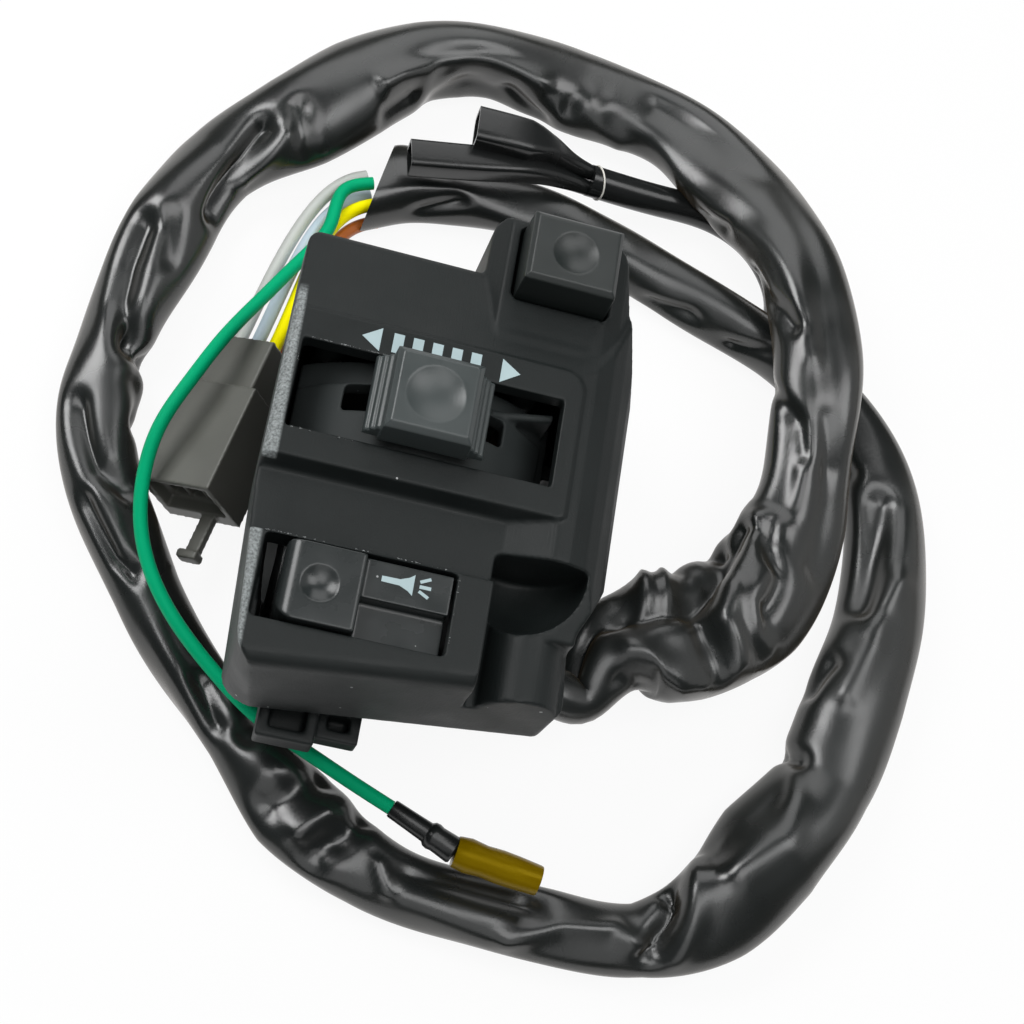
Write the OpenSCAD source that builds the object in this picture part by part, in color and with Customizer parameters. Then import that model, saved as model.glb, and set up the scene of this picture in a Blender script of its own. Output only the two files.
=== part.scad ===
// Left handlebar switch cluster: turn lever, horn button and dip button in a two-piece case
// that clamps round the bar, with its sheathed harness, connector, earth wire and branch lead.
// X runs along the bar, Y towards the dip button, Z out of the face. The origin is on the bar's axis.

/* [Handlebar clamp] */
// Diameter of the bar that the two case halves close on
bar_d = 22.2; // [21:0.1:23]

/* [Case] */
// Height of the case's face above the bar's axis
face_z = 34; // [33:0.5:38]
// Depth of the rear half behind the bar's axis
back_z = 15.5; // [15:0.5:17]
// Reach of the case to the left of the turn knob
left_x = 21; // [20.5:0.5:24]
// Reach of the case to the right of the turn knob
right_x = 30.5; // [30:0.5:34]
// Reach of the case above the bar's axis
top_y = 36; // [35:0.5:40]
// Reach of the chin below the bar's axis
chin_y = 29.7; // [29:0.5:33]
// Wall thickness of both case halves
wall = 2.4; // [2:0.1:2.8]
// Depth of the valley between the turn plate and the horn frame
valley_drop = 2.4; // [1.4:0.1:3]
// Reach of the dip pedestal past the top edge
pedestal_out = 8.4; // [8:0.2:10]

/* [Turn switch] */
// Length of the turn slot
slot_w = 37.6; // [36:0.2:38]
// Height of the turn slot
slot_h = 13.4; // [12.6:0.2:14]
// Width of the turn knob's head
knob_w = 12.2; // [10:0.2:12.6]
// Rise of the turn knob above the turn plate
knob_rise = 6.6; // [5:0.2:9]
// Swing of the turn lever to each side in degrees
turn_swing = 20; // [15:1:21]
// Diameter of the turn lever's pivot pin
turn_pin_d = 2.5; // [2:0.1:3]

/* [Horn button] */
// Length of the horn opening
horn_w = 26.3; // [25:0.2:26.8]
// Height of the horn opening
horn_h = 11.8; // [11:0.2:12.4]
// Swing of the horn button in degrees
horn_swing = 7; // [4:0.5:8]
// Diameter of the horn button's pivot pin
horn_pin_d = 2; // [1.6:0.1:2.4]

/* [Dip button] */
// Width of the dip button's top
dip_w = 13.4; // [11.6:0.2:13.6]
// Height of the dip button's top
dip_h = 11; // [9.4:0.2:11.2]
// Rise of the dip button above its pedestal
dip_rise = 6.5; // [5:0.5:9]
// Travel of the dip button
dip_travel = 3; // [2:0.2:3.4]

/* [Fasteners] */
// Thread diameter of the two case screws
case_screw_d = 5; // [4:0.5:5.5]
// Thread diameter of the small screws in the switch bases
base_screw_d = 2.4; // [2:0.1:2.6]

/* [Harness] */
// Width of the soft sheath as it lies
sheath_w = 13.6; // [12:0.2:14]
// Thickness of the soft sheath as it lies
sheath_t = 11; // [10:0.2:11]
// Diameter of each insulated wire
wire_d = 2.2; // [1.8:0.1:2.4]
// Diameter of the branch lead
lead_d = 5.6; // [4.6:0.1:6]

/* [Connector] */
// Width of the connector block
conn_w = 13.5; // [12:0.5:14]
// Thickness of the connector block
conn_t = 12; // [11:0.5:12]
// Length of the connector block without its neck
conn_l = 18.5; // [16:0.5:20]

/* [Clearances] */
// Gap round a button in its opening
button_gap = 0.4; // [0.3:0.05:0.6]
// Radial gap of a pin in its hole
pin_gap = 0.05; // [0.02:0.01:0.08]
// Gap between a piece and the rib or seat below it
seat_gap = 0.2; // [0.1:0.05:0.3]
// Gap between sliding contacts and what sweeps past them
sweep_gap = 0.35; // [0.3:0.05:0.5]

/* [Hidden] */
$fn = 48;
far = 100;
bar_r = bar_d / 2;

// Case outline
in_z = face_z - wall;
case_draft = 3.4;
draft_deep = 10;
draft_z = face_z - draft_deep;
draft_r = 6;
edge_r = 1.4;
shoulder_r = 10;
belt_z = 5;
belt_in = 1.5;
belt_r = 4;
top_r = 3;
top_in = 3.5;
top_right_r = 4;
top_edge_r = 2.5;
top_back_in = 1;
side_r = 25;
shoulder_side_r = 12;
joint_over = 1;
weld = 0.1;
crease_y = 21;
slope_drop = 4;
plate_x = 21.4;
plate_rise = 0.3;
left_taper = 2.6;
left_bend_y = -4;
chin_z = 15;
chin_turn = 6;
chin_mid_x = 1;
chin_lean = 1.2;
chin_r = 2.2;
chin_corner_r = 6;
chin_back_r = 1.5;
plan_over = 0.3;
waist_y = 23.2;
waist_z = 7;
waist_r = 2;
bend_y = 20;
pedestal_drop = 1;
pedestal_z = face_z - pedestal_drop;
pedestal_y = top_y + pedestal_out;
pedestal_foot_x = 4.6;
pedestal_lean = 0.6;
pedestal_bevel = 3.6;
pedestal_bevel_x = pedestal_foot_x + pedestal_bevel - pedestal_lean;
pedestal_r = 2;
pedestal_right_r = 4;
pedestal_right_in = 5.2;
pedestal_right_x = right_x - pedestal_right_in;
pedestal_in = 1;
pedestal_rise = 5;
pedestal_rise_y = crease_y + pedestal_rise;
pedestal_foot_z = 7;
pedestal_skin = 0.2;
valley_z = face_z - valley_drop;
valley_top_y = -1.5;
valley_low_y = -12.4;
valley_lean = 1.1;
ramp_x = 13.8;
ramp_end_x = 21.2;

// Lower right corner: a step with a rounded boss on it, and the pocket scooped out of its upper end
step_x = 13.2;
step_y = -7.5;
step_deep = 9;
step_z = face_z - step_deep;
boss_x = 20.6;
boss_sink = 1.2;
boss_z = step_z - boss_sink;
boss_r = 5.8;
boss_flat = 0.05;
boss_top = boss_z + boss_r - boss_flat;
scoop_x = 17.5;
scoop_in = 1;
scoop_y = step_y - scoop_in;
scoop_drop = 3.5;
scoop_z = face_z - scoop_drop;
scoop_r = 9;
scoop_flow = 5;
pocket_low_y = scoop_y - scoop_r;
pocket_right_x = scoop_x + scoop_r;
rim_drop = 2;
rim_z = face_z - rim_drop;
rim_w = 1;
right_bend_y = -7;
right_low_y = -16;
right_low_x = 26.4;
right_chin_x = 27.4;
right_bend_r = 6;
right_low_r = 4;
right_chin_r = 3;
pocket_rs = [1, 1.5];
plate_low_r = 1.2;
plate_top_r = 3;

// Lugs below the chin: left edge, right edge, lower edge, back and front of each
lug_wall = 1.6;
lug_deep = 3.2;
lug_root = 1;
lug_mid_x = -4.6;
lug_long = 4.8;
lug_low_y = -chin_y - lug_long;
lug_short = 2.8;
lug_short_y = -chin_y - lug_short;
lugs = [[-13, lug_mid_x, lug_low_y, 8, 13], [lug_mid_x, 1.8, lug_short_y, 6, 10]];

// Ribs and posts inside the case
rib_t = 2.4;
rib_skin = 1.6;
rib_top = bar_r + rib_skin;
rib_xs = [-12, 4, 20];
divide_gap = 2;
divide_y = bar_r + divide_gap;
post_r = 2.2;
post_root = 1;
post_hole = 5;
base_t = 1.6;
base_low = rib_top + seat_gap;
base_top = base_low + base_t;
slot_y = 9.6;
frame_lap = 0.9;
frame_half = slot_h / 2 + frame_lap;
post_gap = 0.8;
turn_post_x = 14.4;
turn_posts = [
    [-turn_post_x, slot_y + frame_half + post_gap + post_r],
    [turn_post_x, slot_y + frame_half + post_gap + post_r],
    [0, slot_y - frame_half - post_gap - post_r]];

// Turn lever
pivot_rise = 6.5;
turn_pivot_z = base_top + pivot_rise;
turn_pin_r = turn_pin_d / 2;
shield_r = 25;
shield_t = 1.6;
shield_gap = 0.6;
shield_top = in_z - shield_gap;
shield_z = shield_top - shield_r;
shield_out = 0.8;
land_r = 22;
land_drop = 0.8;
land_z = face_z - land_drop - land_r;
land_up = 3.4;
land_y = slot_y + land_up;
curl_x = 9.4;
curl_z = face_z - 4.6;
curl_r = 0.6;
curl_l = 9.4;
curl_deep = 8;
curl_turn = 10;
cheek_x = 12;
base_out = 3;
window_w = 23;
window_h = 4;
window_shift = 1.2;
window_y = slot_y + window_shift;
stem_t = 3.4;
stem_w = 6;
stem_deep = 3;
hub_r = 3.4;
hub_half = frame_half - shield_t - button_gap;
leaf_t = 0.4;
leaf_rise = 1;
detent_r = turn_pivot_z - base_top - leaf_t - leaf_rise - sweep_gap;
bridge_t = 0.8;
shoe_drop = 1.4;
detent_half = 1.6;
notch_r = 0.6;
stud_dy = 3.7;
stud_w = 2.4;
stud_pitch = 3.4;
stud_half = 0.9;
stud_drop = 2;
leaf_half = 1.4;
leaf_end = 9;
leaf_bend = 4;
leaf_tip = 1.2;
knob_gap = 1.2;
knob_top = face_z + knob_rise;
knob_low = face_z + knob_gap;
knob_draft = 0.2;
knob_bevel = 0.8;
knob_ribs = 3;
rib_step = 0.75;
rib_drop = 2;
rib_in = 0.8;
rib_bevel = 0.2;
knob_dimple_d = 8.4;
knob_dimple = 0.9;

// Horn button
horn_x1 = 8.3;
horn_x0 = horn_x1 - horn_w;
horn_y = -18.4;
horn_y0 = horn_y - horn_h / 2;
horn_y1 = horn_y + horn_h / 2;
horn_thumb_gap = 3;
horn_left = horn_x0 + horn_thumb_gap;
horn_open_r = 0.6;
horn_pad_x = -4.2;
horn_pad_rise = 1;
horn_pad_z = face_z + horn_pad_rise;
horn_strip_drop = 0.6;
horn_strip_z = face_z - horn_strip_drop;
horn_step_drop = 3;
horn_step_z = face_z - horn_step_drop;
horn_deep = 5;
horn_low = face_z - horn_deep;
horn_pin_r = horn_pin_d / 2;
horn_pivot_in = 2.7;
horn_pivot_x = horn_x1 - horn_pivot_in;
horn_pivot_drop = 0.8;
horn_pivot_z = horn_low - horn_pivot_drop;
horn_base_deep = 12.5;
horn_base_top = face_z - horn_base_deep;
horn_base_half = 4;
horn_foot_w = 6;
horn_foot_in = 2;
horn_post_out = 2.3;
horn_post_up = 1.3;
horn_post = [horn_x1 + horn_post_out, horn_y0 + horn_post_up];
horn_stop_x = -8;
stop_w = 4;
ledge_t = 2;
ledge_w = 4;
ledge_lap = 1.4;
horn_ledge_x = -13.6;
horn_spring_x = -9;
horn_spring_r = 2;
horn_peg_in = 0.6;
horn_peg_r = horn_spring_r - horn_peg_in;
horn_peg = 1.6;
horn_ear_t = 2.4;
horn_ear_wall = 1.3;
horn_ear_r = horn_pin_r + horn_ear_wall;
horn_ear_half = 2;
horn_ear_in = 0.6;
horn_end_r = 2.2;
horn_low_r = 2.6;
horn_step_r = 0.5;
horn_top_r = 0.8;
horn_dimple_x = -9.8;
horn_dimple_d = 5.2;
horn_dimple = 0.8;
horn_leaf_half = 1.6;
horn_leaf_x = [-5.2, -0.8, 6];
horn_leaf_rise = 2;
horn_stud_x = -4.2;
horn_stud_r = 1.2;
horn_stud_h = 1;
pin_rib_t = 1.8;
pin_rib_w = 2.4;

// Dip button
dip_x = 16.1;
dip_in_y = 7.5;
dip_y = pedestal_y - dip_in_y;
dip_draft = 0.2;
dip_top = pedestal_z + dip_rise;
dip_bevel = 0.7;
dip_dimple_d = 6.8;
dip_dimple = 0.9;
dip_open_r = 1.2;
dip_low = pedestal_z - wall - joint_over;
dip_base_deep = 13;
dip_base_top = face_z - dip_base_deep;
dip_base_t = 5;
dip_base_half = 6;
dip_base_y = [-8, 4];
dip_open_w = dip_w + 2 * dip_draft + 2 * button_gap;
dip_open_h = dip_h + 2 * dip_draft + 2 * button_gap;
plunger_r = 2.9;
plunger_step = 0.9;
plunger_deep = 3;
plunger_foot = 1.2;
dip_post_x = [-10.2, 6.7];
dip_post_y = -9.2;
dip_posts = [for (x = dip_post_x) [dip_x + x, dip_y + dip_post_y]];
dip_bridge_out = 1;
dip_bridge_t = 0.5;
dip_contact_x = 4.9;
dip_pin_half = 0.6;
dip_pin_w = 1.2;
dip_pin_l = 6;
dip_spring_r = 4;

// Rear half, screws and cable outlet
rear_left_x = left_x - case_draft;
rear_pad_y0 = -12;
rear_pad_y1 = 13;
rear_in = 3;
rear_draft = 1;
rear_waist_z = 4;
rear_top_z = 5;
rear_r = 3;
rear_top_r = 4;
screw_seat_z = -4;
screw_r = case_screw_d / 2;
screw_head_out = 1.7;
screw_head_r = screw_r + screw_head_out;
screw_head_t = 3;
cross_t = 1;
cross_deep = 1.4;
screw_low = 4.6;
screw_spots = [[-11, 28], [0.4, -bar_r - screw_low]];
column_wall = 1.3;
column_r = screw_r + column_wall;
column_gap = 1.4;
well_wall = 1.6;
screw_up = 12;
base_head = 0.9;
base_grip = 4;
outlet_y = -15.8;
outlet_r = 3.4;
outlet_deep = 4;
flange_r = 4.6;
flange_t = 1.6;
grommet_wall = 1.4;
grommet_skin = 0.6;
grommet_out = 1;

// Springs
spring_wire = 0.5;
spring_curls = 5;

// Routes of the cords, in millimetres, laid on the surface behind the rear half
harness_route = [
    [right_low_x + flange_t, outlet_y, 0], [30, outlet_y, 0], [35.4, -15.8, -1.6],
    [40, -8.8, -1.5], [46.4, -4.4, -1.8], [54, -0.4, -3.2], [61.5, 6.3, -4.5], [66.3, 17.3, -4.8],
    [68, 31, -2], [67.5, 44, 1.5], [65.5, 55, 1.8], [62.6, 66.3, 1.5], [57.6, 77.7, -2.5],
    [49, 89, -7], [36.6, 97.2, -9.8], [21, 100.2, -10], [6.2, 99, -10], [-7.7, 94.3, -10],
    [-18.3, 86.7, -10], [-27.4, 76.7, -10], [-37, 65.5, -10], [-42.5, 52.3, -10], [-45, 39, -10],
    [-46.5, 25, -10], [-45.5, 12, -10], [-40, -0.5, -10], [-33.5, -11, -10], [-25, -21, -10],
    [-14.5, -30, -10], [-3.9, -38.6, -10], [8.6, -45, -10], [23, -47.5, -10], [38, -48.5, -10],
    [52, -48, -10], [63, -41.1, -10], [71.2, -31.3, -10], [79.2, -18.2, -10], [83.6, -2.7, -10],
    [86.4, 12, -10], [86, 27, -10], [82, 40.5, -10], [74, 51, -10], [62.5, 58.5, -10],
    [47.6, 63, -10], [33, 68.2, -10], [18, 71.2, -10], [4, 71.5, -10], [-5, 70, -10], [-11, 67, -10]];
outlet_points = 8;
// How full the soft sheath is at some of those points, as a share of its width
sheath_fill = [
    [0, 0.62], [2, 0.62], [3, 0.96], [4, 1.26], [6, 1.32], [8, 1.1], [9, 1.02], [13, 1.06], [15, 1.06],
    [17, 1.3], [18, 1.32], [19, 1.26], [20, 1.04], [21, 1.06], [23, 0.92], [26, 0.74], [28, 0.8],
    [29, 1], [30, 0.84], [33, 0.74], [34, 1.08], [35, 1.28], [36, 1.12], [37, 1.18], [39, 1.06],
    [42, 0.84], [45, 0.76], [48, 0.84]];
green_route = [
    [-17.3, 56.7, -5], [-20.8, 48, -3.4], [-25.5, 38, -0.4], [-30, 28, 2.4], [-33.3, 19.5, 3],
    [-36, 12, 1.6], [-36.6, 4, -0.8], [-35.3, -3, -2.4], [-32, -10, -3], [-26.8, -16.5, -3],
    [-20, -22.5, -3], [-12, -28, -3.2], [-4, -31.5, -3.6], [3, -34.4, -3.6]];
bullet_start = [10, -37.2, -3.4];
bullet_mid = [20.4, -41.7, -3];
bullet_end = [33.6, -43.6, -2.8];
branch_route = [
    [63.5, 63.4, -11], [61.5, 69, -12.4], [56, 75.5, -12.4], [47, 79, -11.4], [38, 80, -9.6],
    [25, 79.5, -7.2]];
upper_route = [[25, 80.8, -6.4], [20, 80.4, -3.6], [15.5, 80, -0.6], [12, 79.8, 0.8], [2.8, 79.2, 1.6]];
lower_route = [[25, 78.2, -7.8], [20, 77.4, -5.4], [14, 75.8, -2.6], [6, 73.6, -1.4], [-7, 70.8, -1.2]];
// Half width and half height of the two vinyl sleeves at those points, their bores and the tabs inside
upper_sizes = [[1.2, 1.2], [1.5, 1.5], [2, 1.9], [3.2, 2.2], [3.3, 2.3]];
lower_sizes = [[1.2, 1.2], [1.6, 1.6], [2.1, 2.1], [2.4, 2.2], [2.6, 2.3]];
sleeve_wall = 0.5;
sleeve_bore = 7;
tab_r = 1.5;
tab_l = 4.5;
// Sleeves and bullet at the end of the green wire: radii, and lengths counted from one end
black_rs = [1.5, 1.7, 2.1];
black_at = [0.3, 0.7];
amber_rs = [2.4, 2.7];
amber_bores = [1.3, 2.2];
amber_step = 2;
amber_lead = 1;
bullet_rs = [1.25, 1.9, 1.3];
bullet_ls = [5, 4.4, 1.2, 0.4];

// Connector frame: it lies rolled over beside the case, with its wire side away from the chin
conn_at = [-29.4, 4, -6.8];
conn_yaw = -11.5;
conn_roll = -32;
neck_l = 9.5;
neck_w = 10;
neck_t = 9.2;
wire_lead = 1;
wire_pull = [9, 15];
green_lead = 4;
cell_pitch = 3.4;
cell_w = 2.6;
cell_deep = 9;
cell_up = 0.6;
rim_wall = 1.2;
rim_low = 3;
rim_deep = 2.2;
latch_x = 3.6;
latch_w = 2.4;
latch_l = 8;
latch_z = 1;
latch_t = 1.4;
hook_l = 1.4;
hook_t = 2.4;
hook_out = 0.6;
blade_half = 0.9;
blade_t = 0.8;
blade_start = 4;

function unit(v) = v / norm(v);
function bezier(a, b, c, d, k) =
    a * pow(1 - k, 3) + b * 3 * k * pow(1 - k, 2) + c * 3 * k * k * (1 - k) + d * pow(k, 3);
// Corner of an outline turned into an arc of radius r that is tangent to both of its edges
function corner(p, q, s, r, n) =
    r == 0 ? [q] :
    let (
        u = unit(p - q),
        v = unit(s - q),
        half = acos(u * v) / 2,
        mid = q + unit(u + v) * r / sin(half),
        a = q + u * r / tan(half) - mid,
        b = q + v * r / tan(half) - mid,
        a0 = atan2(a[1], a[0]),
        turn = (atan2(b[1], b[0]) - a0 + 900) % 360 - 180)
    [for (i = [0:n]) mid + r * [cos(a0 + turn * i / n), sin(a0 + turn * i / n)]];
// Outline whose points are [x, y, corner radius]
function rounded(pts, n = 6) =
    let (m = len(pts), flat = [for (p = pts) [p[0], p[1]]])
    [for (i = [0:m - 1]) each corner(flat[(i + m - 1) % m], flat[i], flat[(i + 1) % m], pts[i][2], n)];
// Unit tangents along a path
function tangents(path) =
    let (m = len(path) - 1)
    [for (i = [0:m]) unit(path[min(i + 1, m)] - path[max(i - 1, 0)])];
// Least gap between stretches of a tube of diameter d that are more than skip points apart
function own_gap(path, skip, d) =
    let (m = len(path) - 1)
    min([for (i = [0:m - skip]) for (j = [i + skip:m]) norm(path[i] - path[j])]) - d;

// Tube along a path; each ring has its own half width and half height from the list sizes
module swept(path, sizes, sides) {
    m = len(path);
    t = tangents(path);
    rings = [
        for (i = [0:m - 1])
            let (side = unit(cross(t[i], [0, 0, 1])), up = cross(side, t[i]))
            for (k = [0:sides - 1])
                let (a = 360 * k / sides)
                path[i] + side * sizes[i][0] * cos(a) + up * sizes[i][1] * sin(a)];
    walls = [
        for (i = [0:m - 2])
            for (k = [0:sides - 1])
                let (a = i * sides + k, b = i * sides + (k + 1) % sides)
                each [[a, b, b + sides], [a, b + sides, a + sides]]];
    caps = [
        for (k = [1:sides - 2])
            each [[0, k + 1, k], [(m - 1) * sides, (m - 1) * sides + k, (m - 1) * sides + k + 1]]];
    polyhedron(rings, concat(walls, caps));
}
module round_tube(path, d, sides) {
    swept(path, [for (p = path) [d / 2, d / 2]], sides);
}
// A flat outline in X and Z carried along Y, or in Y and Z carried along X
module along_y(y0, y1) {
    translate([0, y1, 0]) rotate([90, 0, 0]) linear_extrude(y1 - y0) children();
}
module along_x(x0, x1) {
    translate([x0, 0, 0]) rotate([90, 0, 90]) linear_extrude(x1 - x0) children();
}
module rod_y(x, z, r, y0, y1) {
    translate([x, y1, z]) rotate([90, 0, 0]) cylinder(r = r, h = y1 - y0);
}
module rod_x(y, z, r, x0, x1) {
    translate([x0, y, z]) rotate([0, 90, 0]) cylinder(r = r, h = x1 - x0);
}
module block(x0, x1, y0, y1, z0, z1) {
    translate([x0, y0, z0]) cube([x1 - x0, y1 - y0, z1 - z0]);
}
// Local Z carried onto the line from a to b
module aim(a, b) {
    d = b - a;
    translate(a) rotate([0, acos(d[2] / norm(d)), atan2(d[1], d[0])]) children();
}
// Four-sided key whose width and height shrink evenly from the bottom to the top, with bevelled top edges
module key(w, h, draft, z0, z1, bevel) {
    intersection() {
        along_y(-far, far) polygon([
            [-w / 2 - draft, z0], [-w / 2, z1 - bevel], [-w / 2 + bevel, z1],
            [w / 2 - bevel, z1], [w / 2, z1 - bevel], [w / 2 + draft, z0]]);
        along_x(-far, far) polygon([
            [-h / 2 - draft, z0], [-h / 2, z1 - bevel], [-h / 2 + bevel, z1],
            [h / 2 - bevel, z1], [h / 2, z1 - bevel], [h / 2 + draft, z0]]);
    }
}
// Shallow round hollow of diameter d and depth deep in a top face at the height z
module dimple(d, deep, z) {
    r = (d * d / 4 + deep * deep) / (2 * deep);
    translate([0, 0, z - deep + r]) sphere(r = r);
}

// The chin's faces turn a little about Z, so that the lower edge climbs to the right
module chin_side() {
    translate([chin_mid_x, 0, 0]) rotate([0, 0, chin_turn]) children();
}
function chin_line(x, y) = y + (x - chin_mid_x) * tan(chin_turn);
// Outer block of the front half, or with inset i the room inside it
module front_block(i) {
    intersection() {
        translate([0, 0, i > 0 ? -joint_over : 0]) linear_extrude(far) polygon(rounded([
            [-left_x + left_taper + i, chin_line(-left_x, -chin_y) - plan_over + i, chin_corner_r],
            [-left_x + i, left_bend_y, side_r],
            [-left_x + i, top_y - i, top_r],
            [right_x - top_in - i, top_y - i, top_right_r],
            [right_x - i, bend_y, shoulder_side_r],
            [right_x - i, right_bend_y, right_bend_r],
            [right_low_x - i, right_low_y, right_low_r],
            [right_chin_x - i, chin_line(right_chin_x, -chin_y) - plan_over + i, right_chin_r]]));
        chin_side() along_x(-far, far) polygon(rounded([
            [-waist_y + i, -joint_over, 0],
            [-waist_y + i, waist_z, waist_r],
            [-chin_y + i, chin_z + i / 2, chin_back_r],
            [-chin_y + chin_lean + i, face_z - i, chin_r],
            [far, face_z - i, 0],
            [far, -joint_over, 0]]));
        along_x(-far, far) polygon(rounded([
            [-far, -joint_over, 0],
            [-far, face_z - i, 0],
            [crease_y, face_z - i, 0],
            [top_y - i, face_z - slope_drop - i, top_edge_r],
            [top_y - top_back_in - i, -joint_over, 0]]));
        along_y(-far, far) polygon(rounded([
            [-rear_left_x + i, -joint_over, 0],
            [-left_x + i, draft_z, draft_r],
            [-left_x + i, face_z - i, edge_r],
            [right_x - i, face_z - i, shoulder_r - i],
            [right_x - i, belt_z, belt_r],
            [right_x - belt_in - i, -joint_over, 0]]));
    }
}
module pedestal_block(i) {
    intersection() {
        linear_extrude(far) polygon(rounded([
            [pedestal_foot_x + i, crease_y + i, 0],
            [pedestal_foot_x + pedestal_lean + i, pedestal_y - i, pedestal_r],
            [pedestal_right_x - i, pedestal_y - i, pedestal_right_r],
            [right_x - pedestal_in - i, crease_y + i, 0]]));
        along_x(-far, far) polygon(rounded([
            [crease_y, joint_over + i, 0],
            [crease_y, face_z - i, 0],
            [pedestal_rise_y, pedestal_z - i, 0],
            [pedestal_y - i, pedestal_z - i, edge_r],
            [pedestal_y - pedestal_in - i, pedestal_foot_z + i, pedestal_r],
            [top_y - 2 * pedestal_in - i, joint_over + i, 0]]));
        along_y(-far, far) polygon(rounded([
            [pedestal_foot_x + i, 0, 0],
            [pedestal_foot_x + i, pedestal_z - pedestal_bevel - i, 0],
            [pedestal_bevel_x + i, pedestal_z + pedestal_skin - i, pedestal_in],
            [right_x - i, pedestal_z + pedestal_skin - i, shoulder_r - i],
            [right_x - i, 0, 0]]));
    }
}
// Round scoop under the arch of the pocket, grown by g
module scoop(g) {
    intersection() {
        translate([scoop_x, scoop_y, scoop_z]) sphere(r = scoop_r + g, $fn = 96);
        linear_extrude(far) polygon(rounded([
            [step_x - g, step_y + g, pocket_rs[0]],
            [step_x - g, pocket_low_y - g - joint_over, 0],
            [pocket_right_x + g + joint_over, pocket_low_y - g - joint_over, 0],
            [pocket_right_x + g + joint_over, step_y + g, pocket_rs[1]]]));
    }
}
module boss() {
    rod_y(boss_x, boss_z, boss_r, -far, step_y);
}
module front_outer() {
    difference() {
        union() {
            front_block(0);
            pedestal_block(0);
            // Thin plate round the turn slot
            intersection() {
                translate([0, 0, plate_rise]) front_block(0);
                translate([0, 0, in_z]) linear_extrude(far) polygon(rounded([
                    [-far, valley_top_y, 0],
                    [plate_x, valley_top_y, plate_low_r],
                    [plate_x, crease_y, plate_top_r],
                    [-far, crease_y, 0]]));
            }
        }
        // Step at the lower right, left open round the boss, and the slope of the pocket's rim
        difference() {
            union() {
                block(step_x, far, -far, pocket_low_y, step_z, far);
                block(step_x, boss_x, pocket_low_y - weld, pocket_low_y + scoop_flow, step_z, far);
            }
            boss();
        }
        along_x(step_x, far) polygon([
            [step_y - rim_w, far], [step_y - rim_w, rim_z], [pocket_low_y, boss_top],
            [-far, boss_top], [-far, far]]);
        // Valley with leaning walls, and its ramp at the right
        intersection() {
            along_y(valley_low_y, valley_top_y) polygon([
                [-far, valley_z],
                [ramp_x, valley_z],
                [ramp_end_x, face_z],
                [ramp_end_x, far],
                [-far, far]]);
            along_x(-far, far) polygon([
                [valley_low_y, far],
                [valley_low_y, face_z],
                [valley_low_y + valley_lean / 2, valley_z],
                [valley_top_y - valley_lean, valley_z],
                [valley_top_y, face_z],
                [valley_top_y, far]]);
        }
    }
}
// Round post at the point p for a switch base, and the blind hole for its screw
module post(p, z0, z1) {
    translate([p[0], p[1], z0]) cylinder(r = post_r, h = z1 - z0);
}
module post_bore(p, z0) {
    translate([p[0], p[1], z0 - joint_over])
        cylinder(r = base_screw_d / 2 + pin_gap, h = post_hole + joint_over);
}
// Pieces of the front half that stand inside its shell
module front_inside() {
    // Skins below the valley, the step and the pocket
    block(-far, ramp_end_x, valley_low_y - wall, valley_top_y + wall, valley_z - wall, far);
    block(step_x - wall, far, -far, step_y, step_z - wall, step_z);
    block(step_x - wall, step_x, -far, step_y, step_z - wall, far);
    boss();
    scoop(wall);
    // Saddles on the bar and the wall beside them
    for (x = rib_xs) block(x - rib_t / 2, x + rib_t / 2, -waist_y, divide_y + wall, 0, rib_top);
    block(-left_x, right_x, divide_y, divide_y + wall, 0, rib_top);
    // Posts for the switch bases, ribs for the horn pin and a ledge for the horn base
    for (p = turn_posts) post(p, base_top, face_z - post_root);
    for (p = dip_posts) post(p, dip_base_top, pedestal_z - 2 * post_root);
    post(horn_post, horn_base_top, in_z + post_root / 2);
    for (y = [horn_y0 - seat_gap - pin_rib_t, horn_y1 + seat_gap])
        block(horn_pivot_x - pin_rib_w, horn_pivot_x + pin_rib_w, y, y + pin_rib_t,
            horn_pivot_z - pin_rib_w, in_z + weld);
    block(horn_ledge_x, horn_ledge_x + ledge_w, -far, horn_y - horn_base_half + ledge_lap,
        horn_base_top, horn_base_top + ledge_t);
    block(horn_stop_x, horn_stop_x + stop_w, horn_y1 + seat_gap, horn_y1 + seat_gap + pin_rib_t,
        horn_base_top, in_z);
    // Columns for the case screws
    translate([screw_spots[0][0], screw_spots[0][1], 0]) cylinder(r = column_r, h = face_z - slope_drop);
    translate([screw_spots[1][0], screw_spots[1][1], 0])
        cylinder(r = column_r, h = horn_base_top - base_t - column_gap);
}
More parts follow.
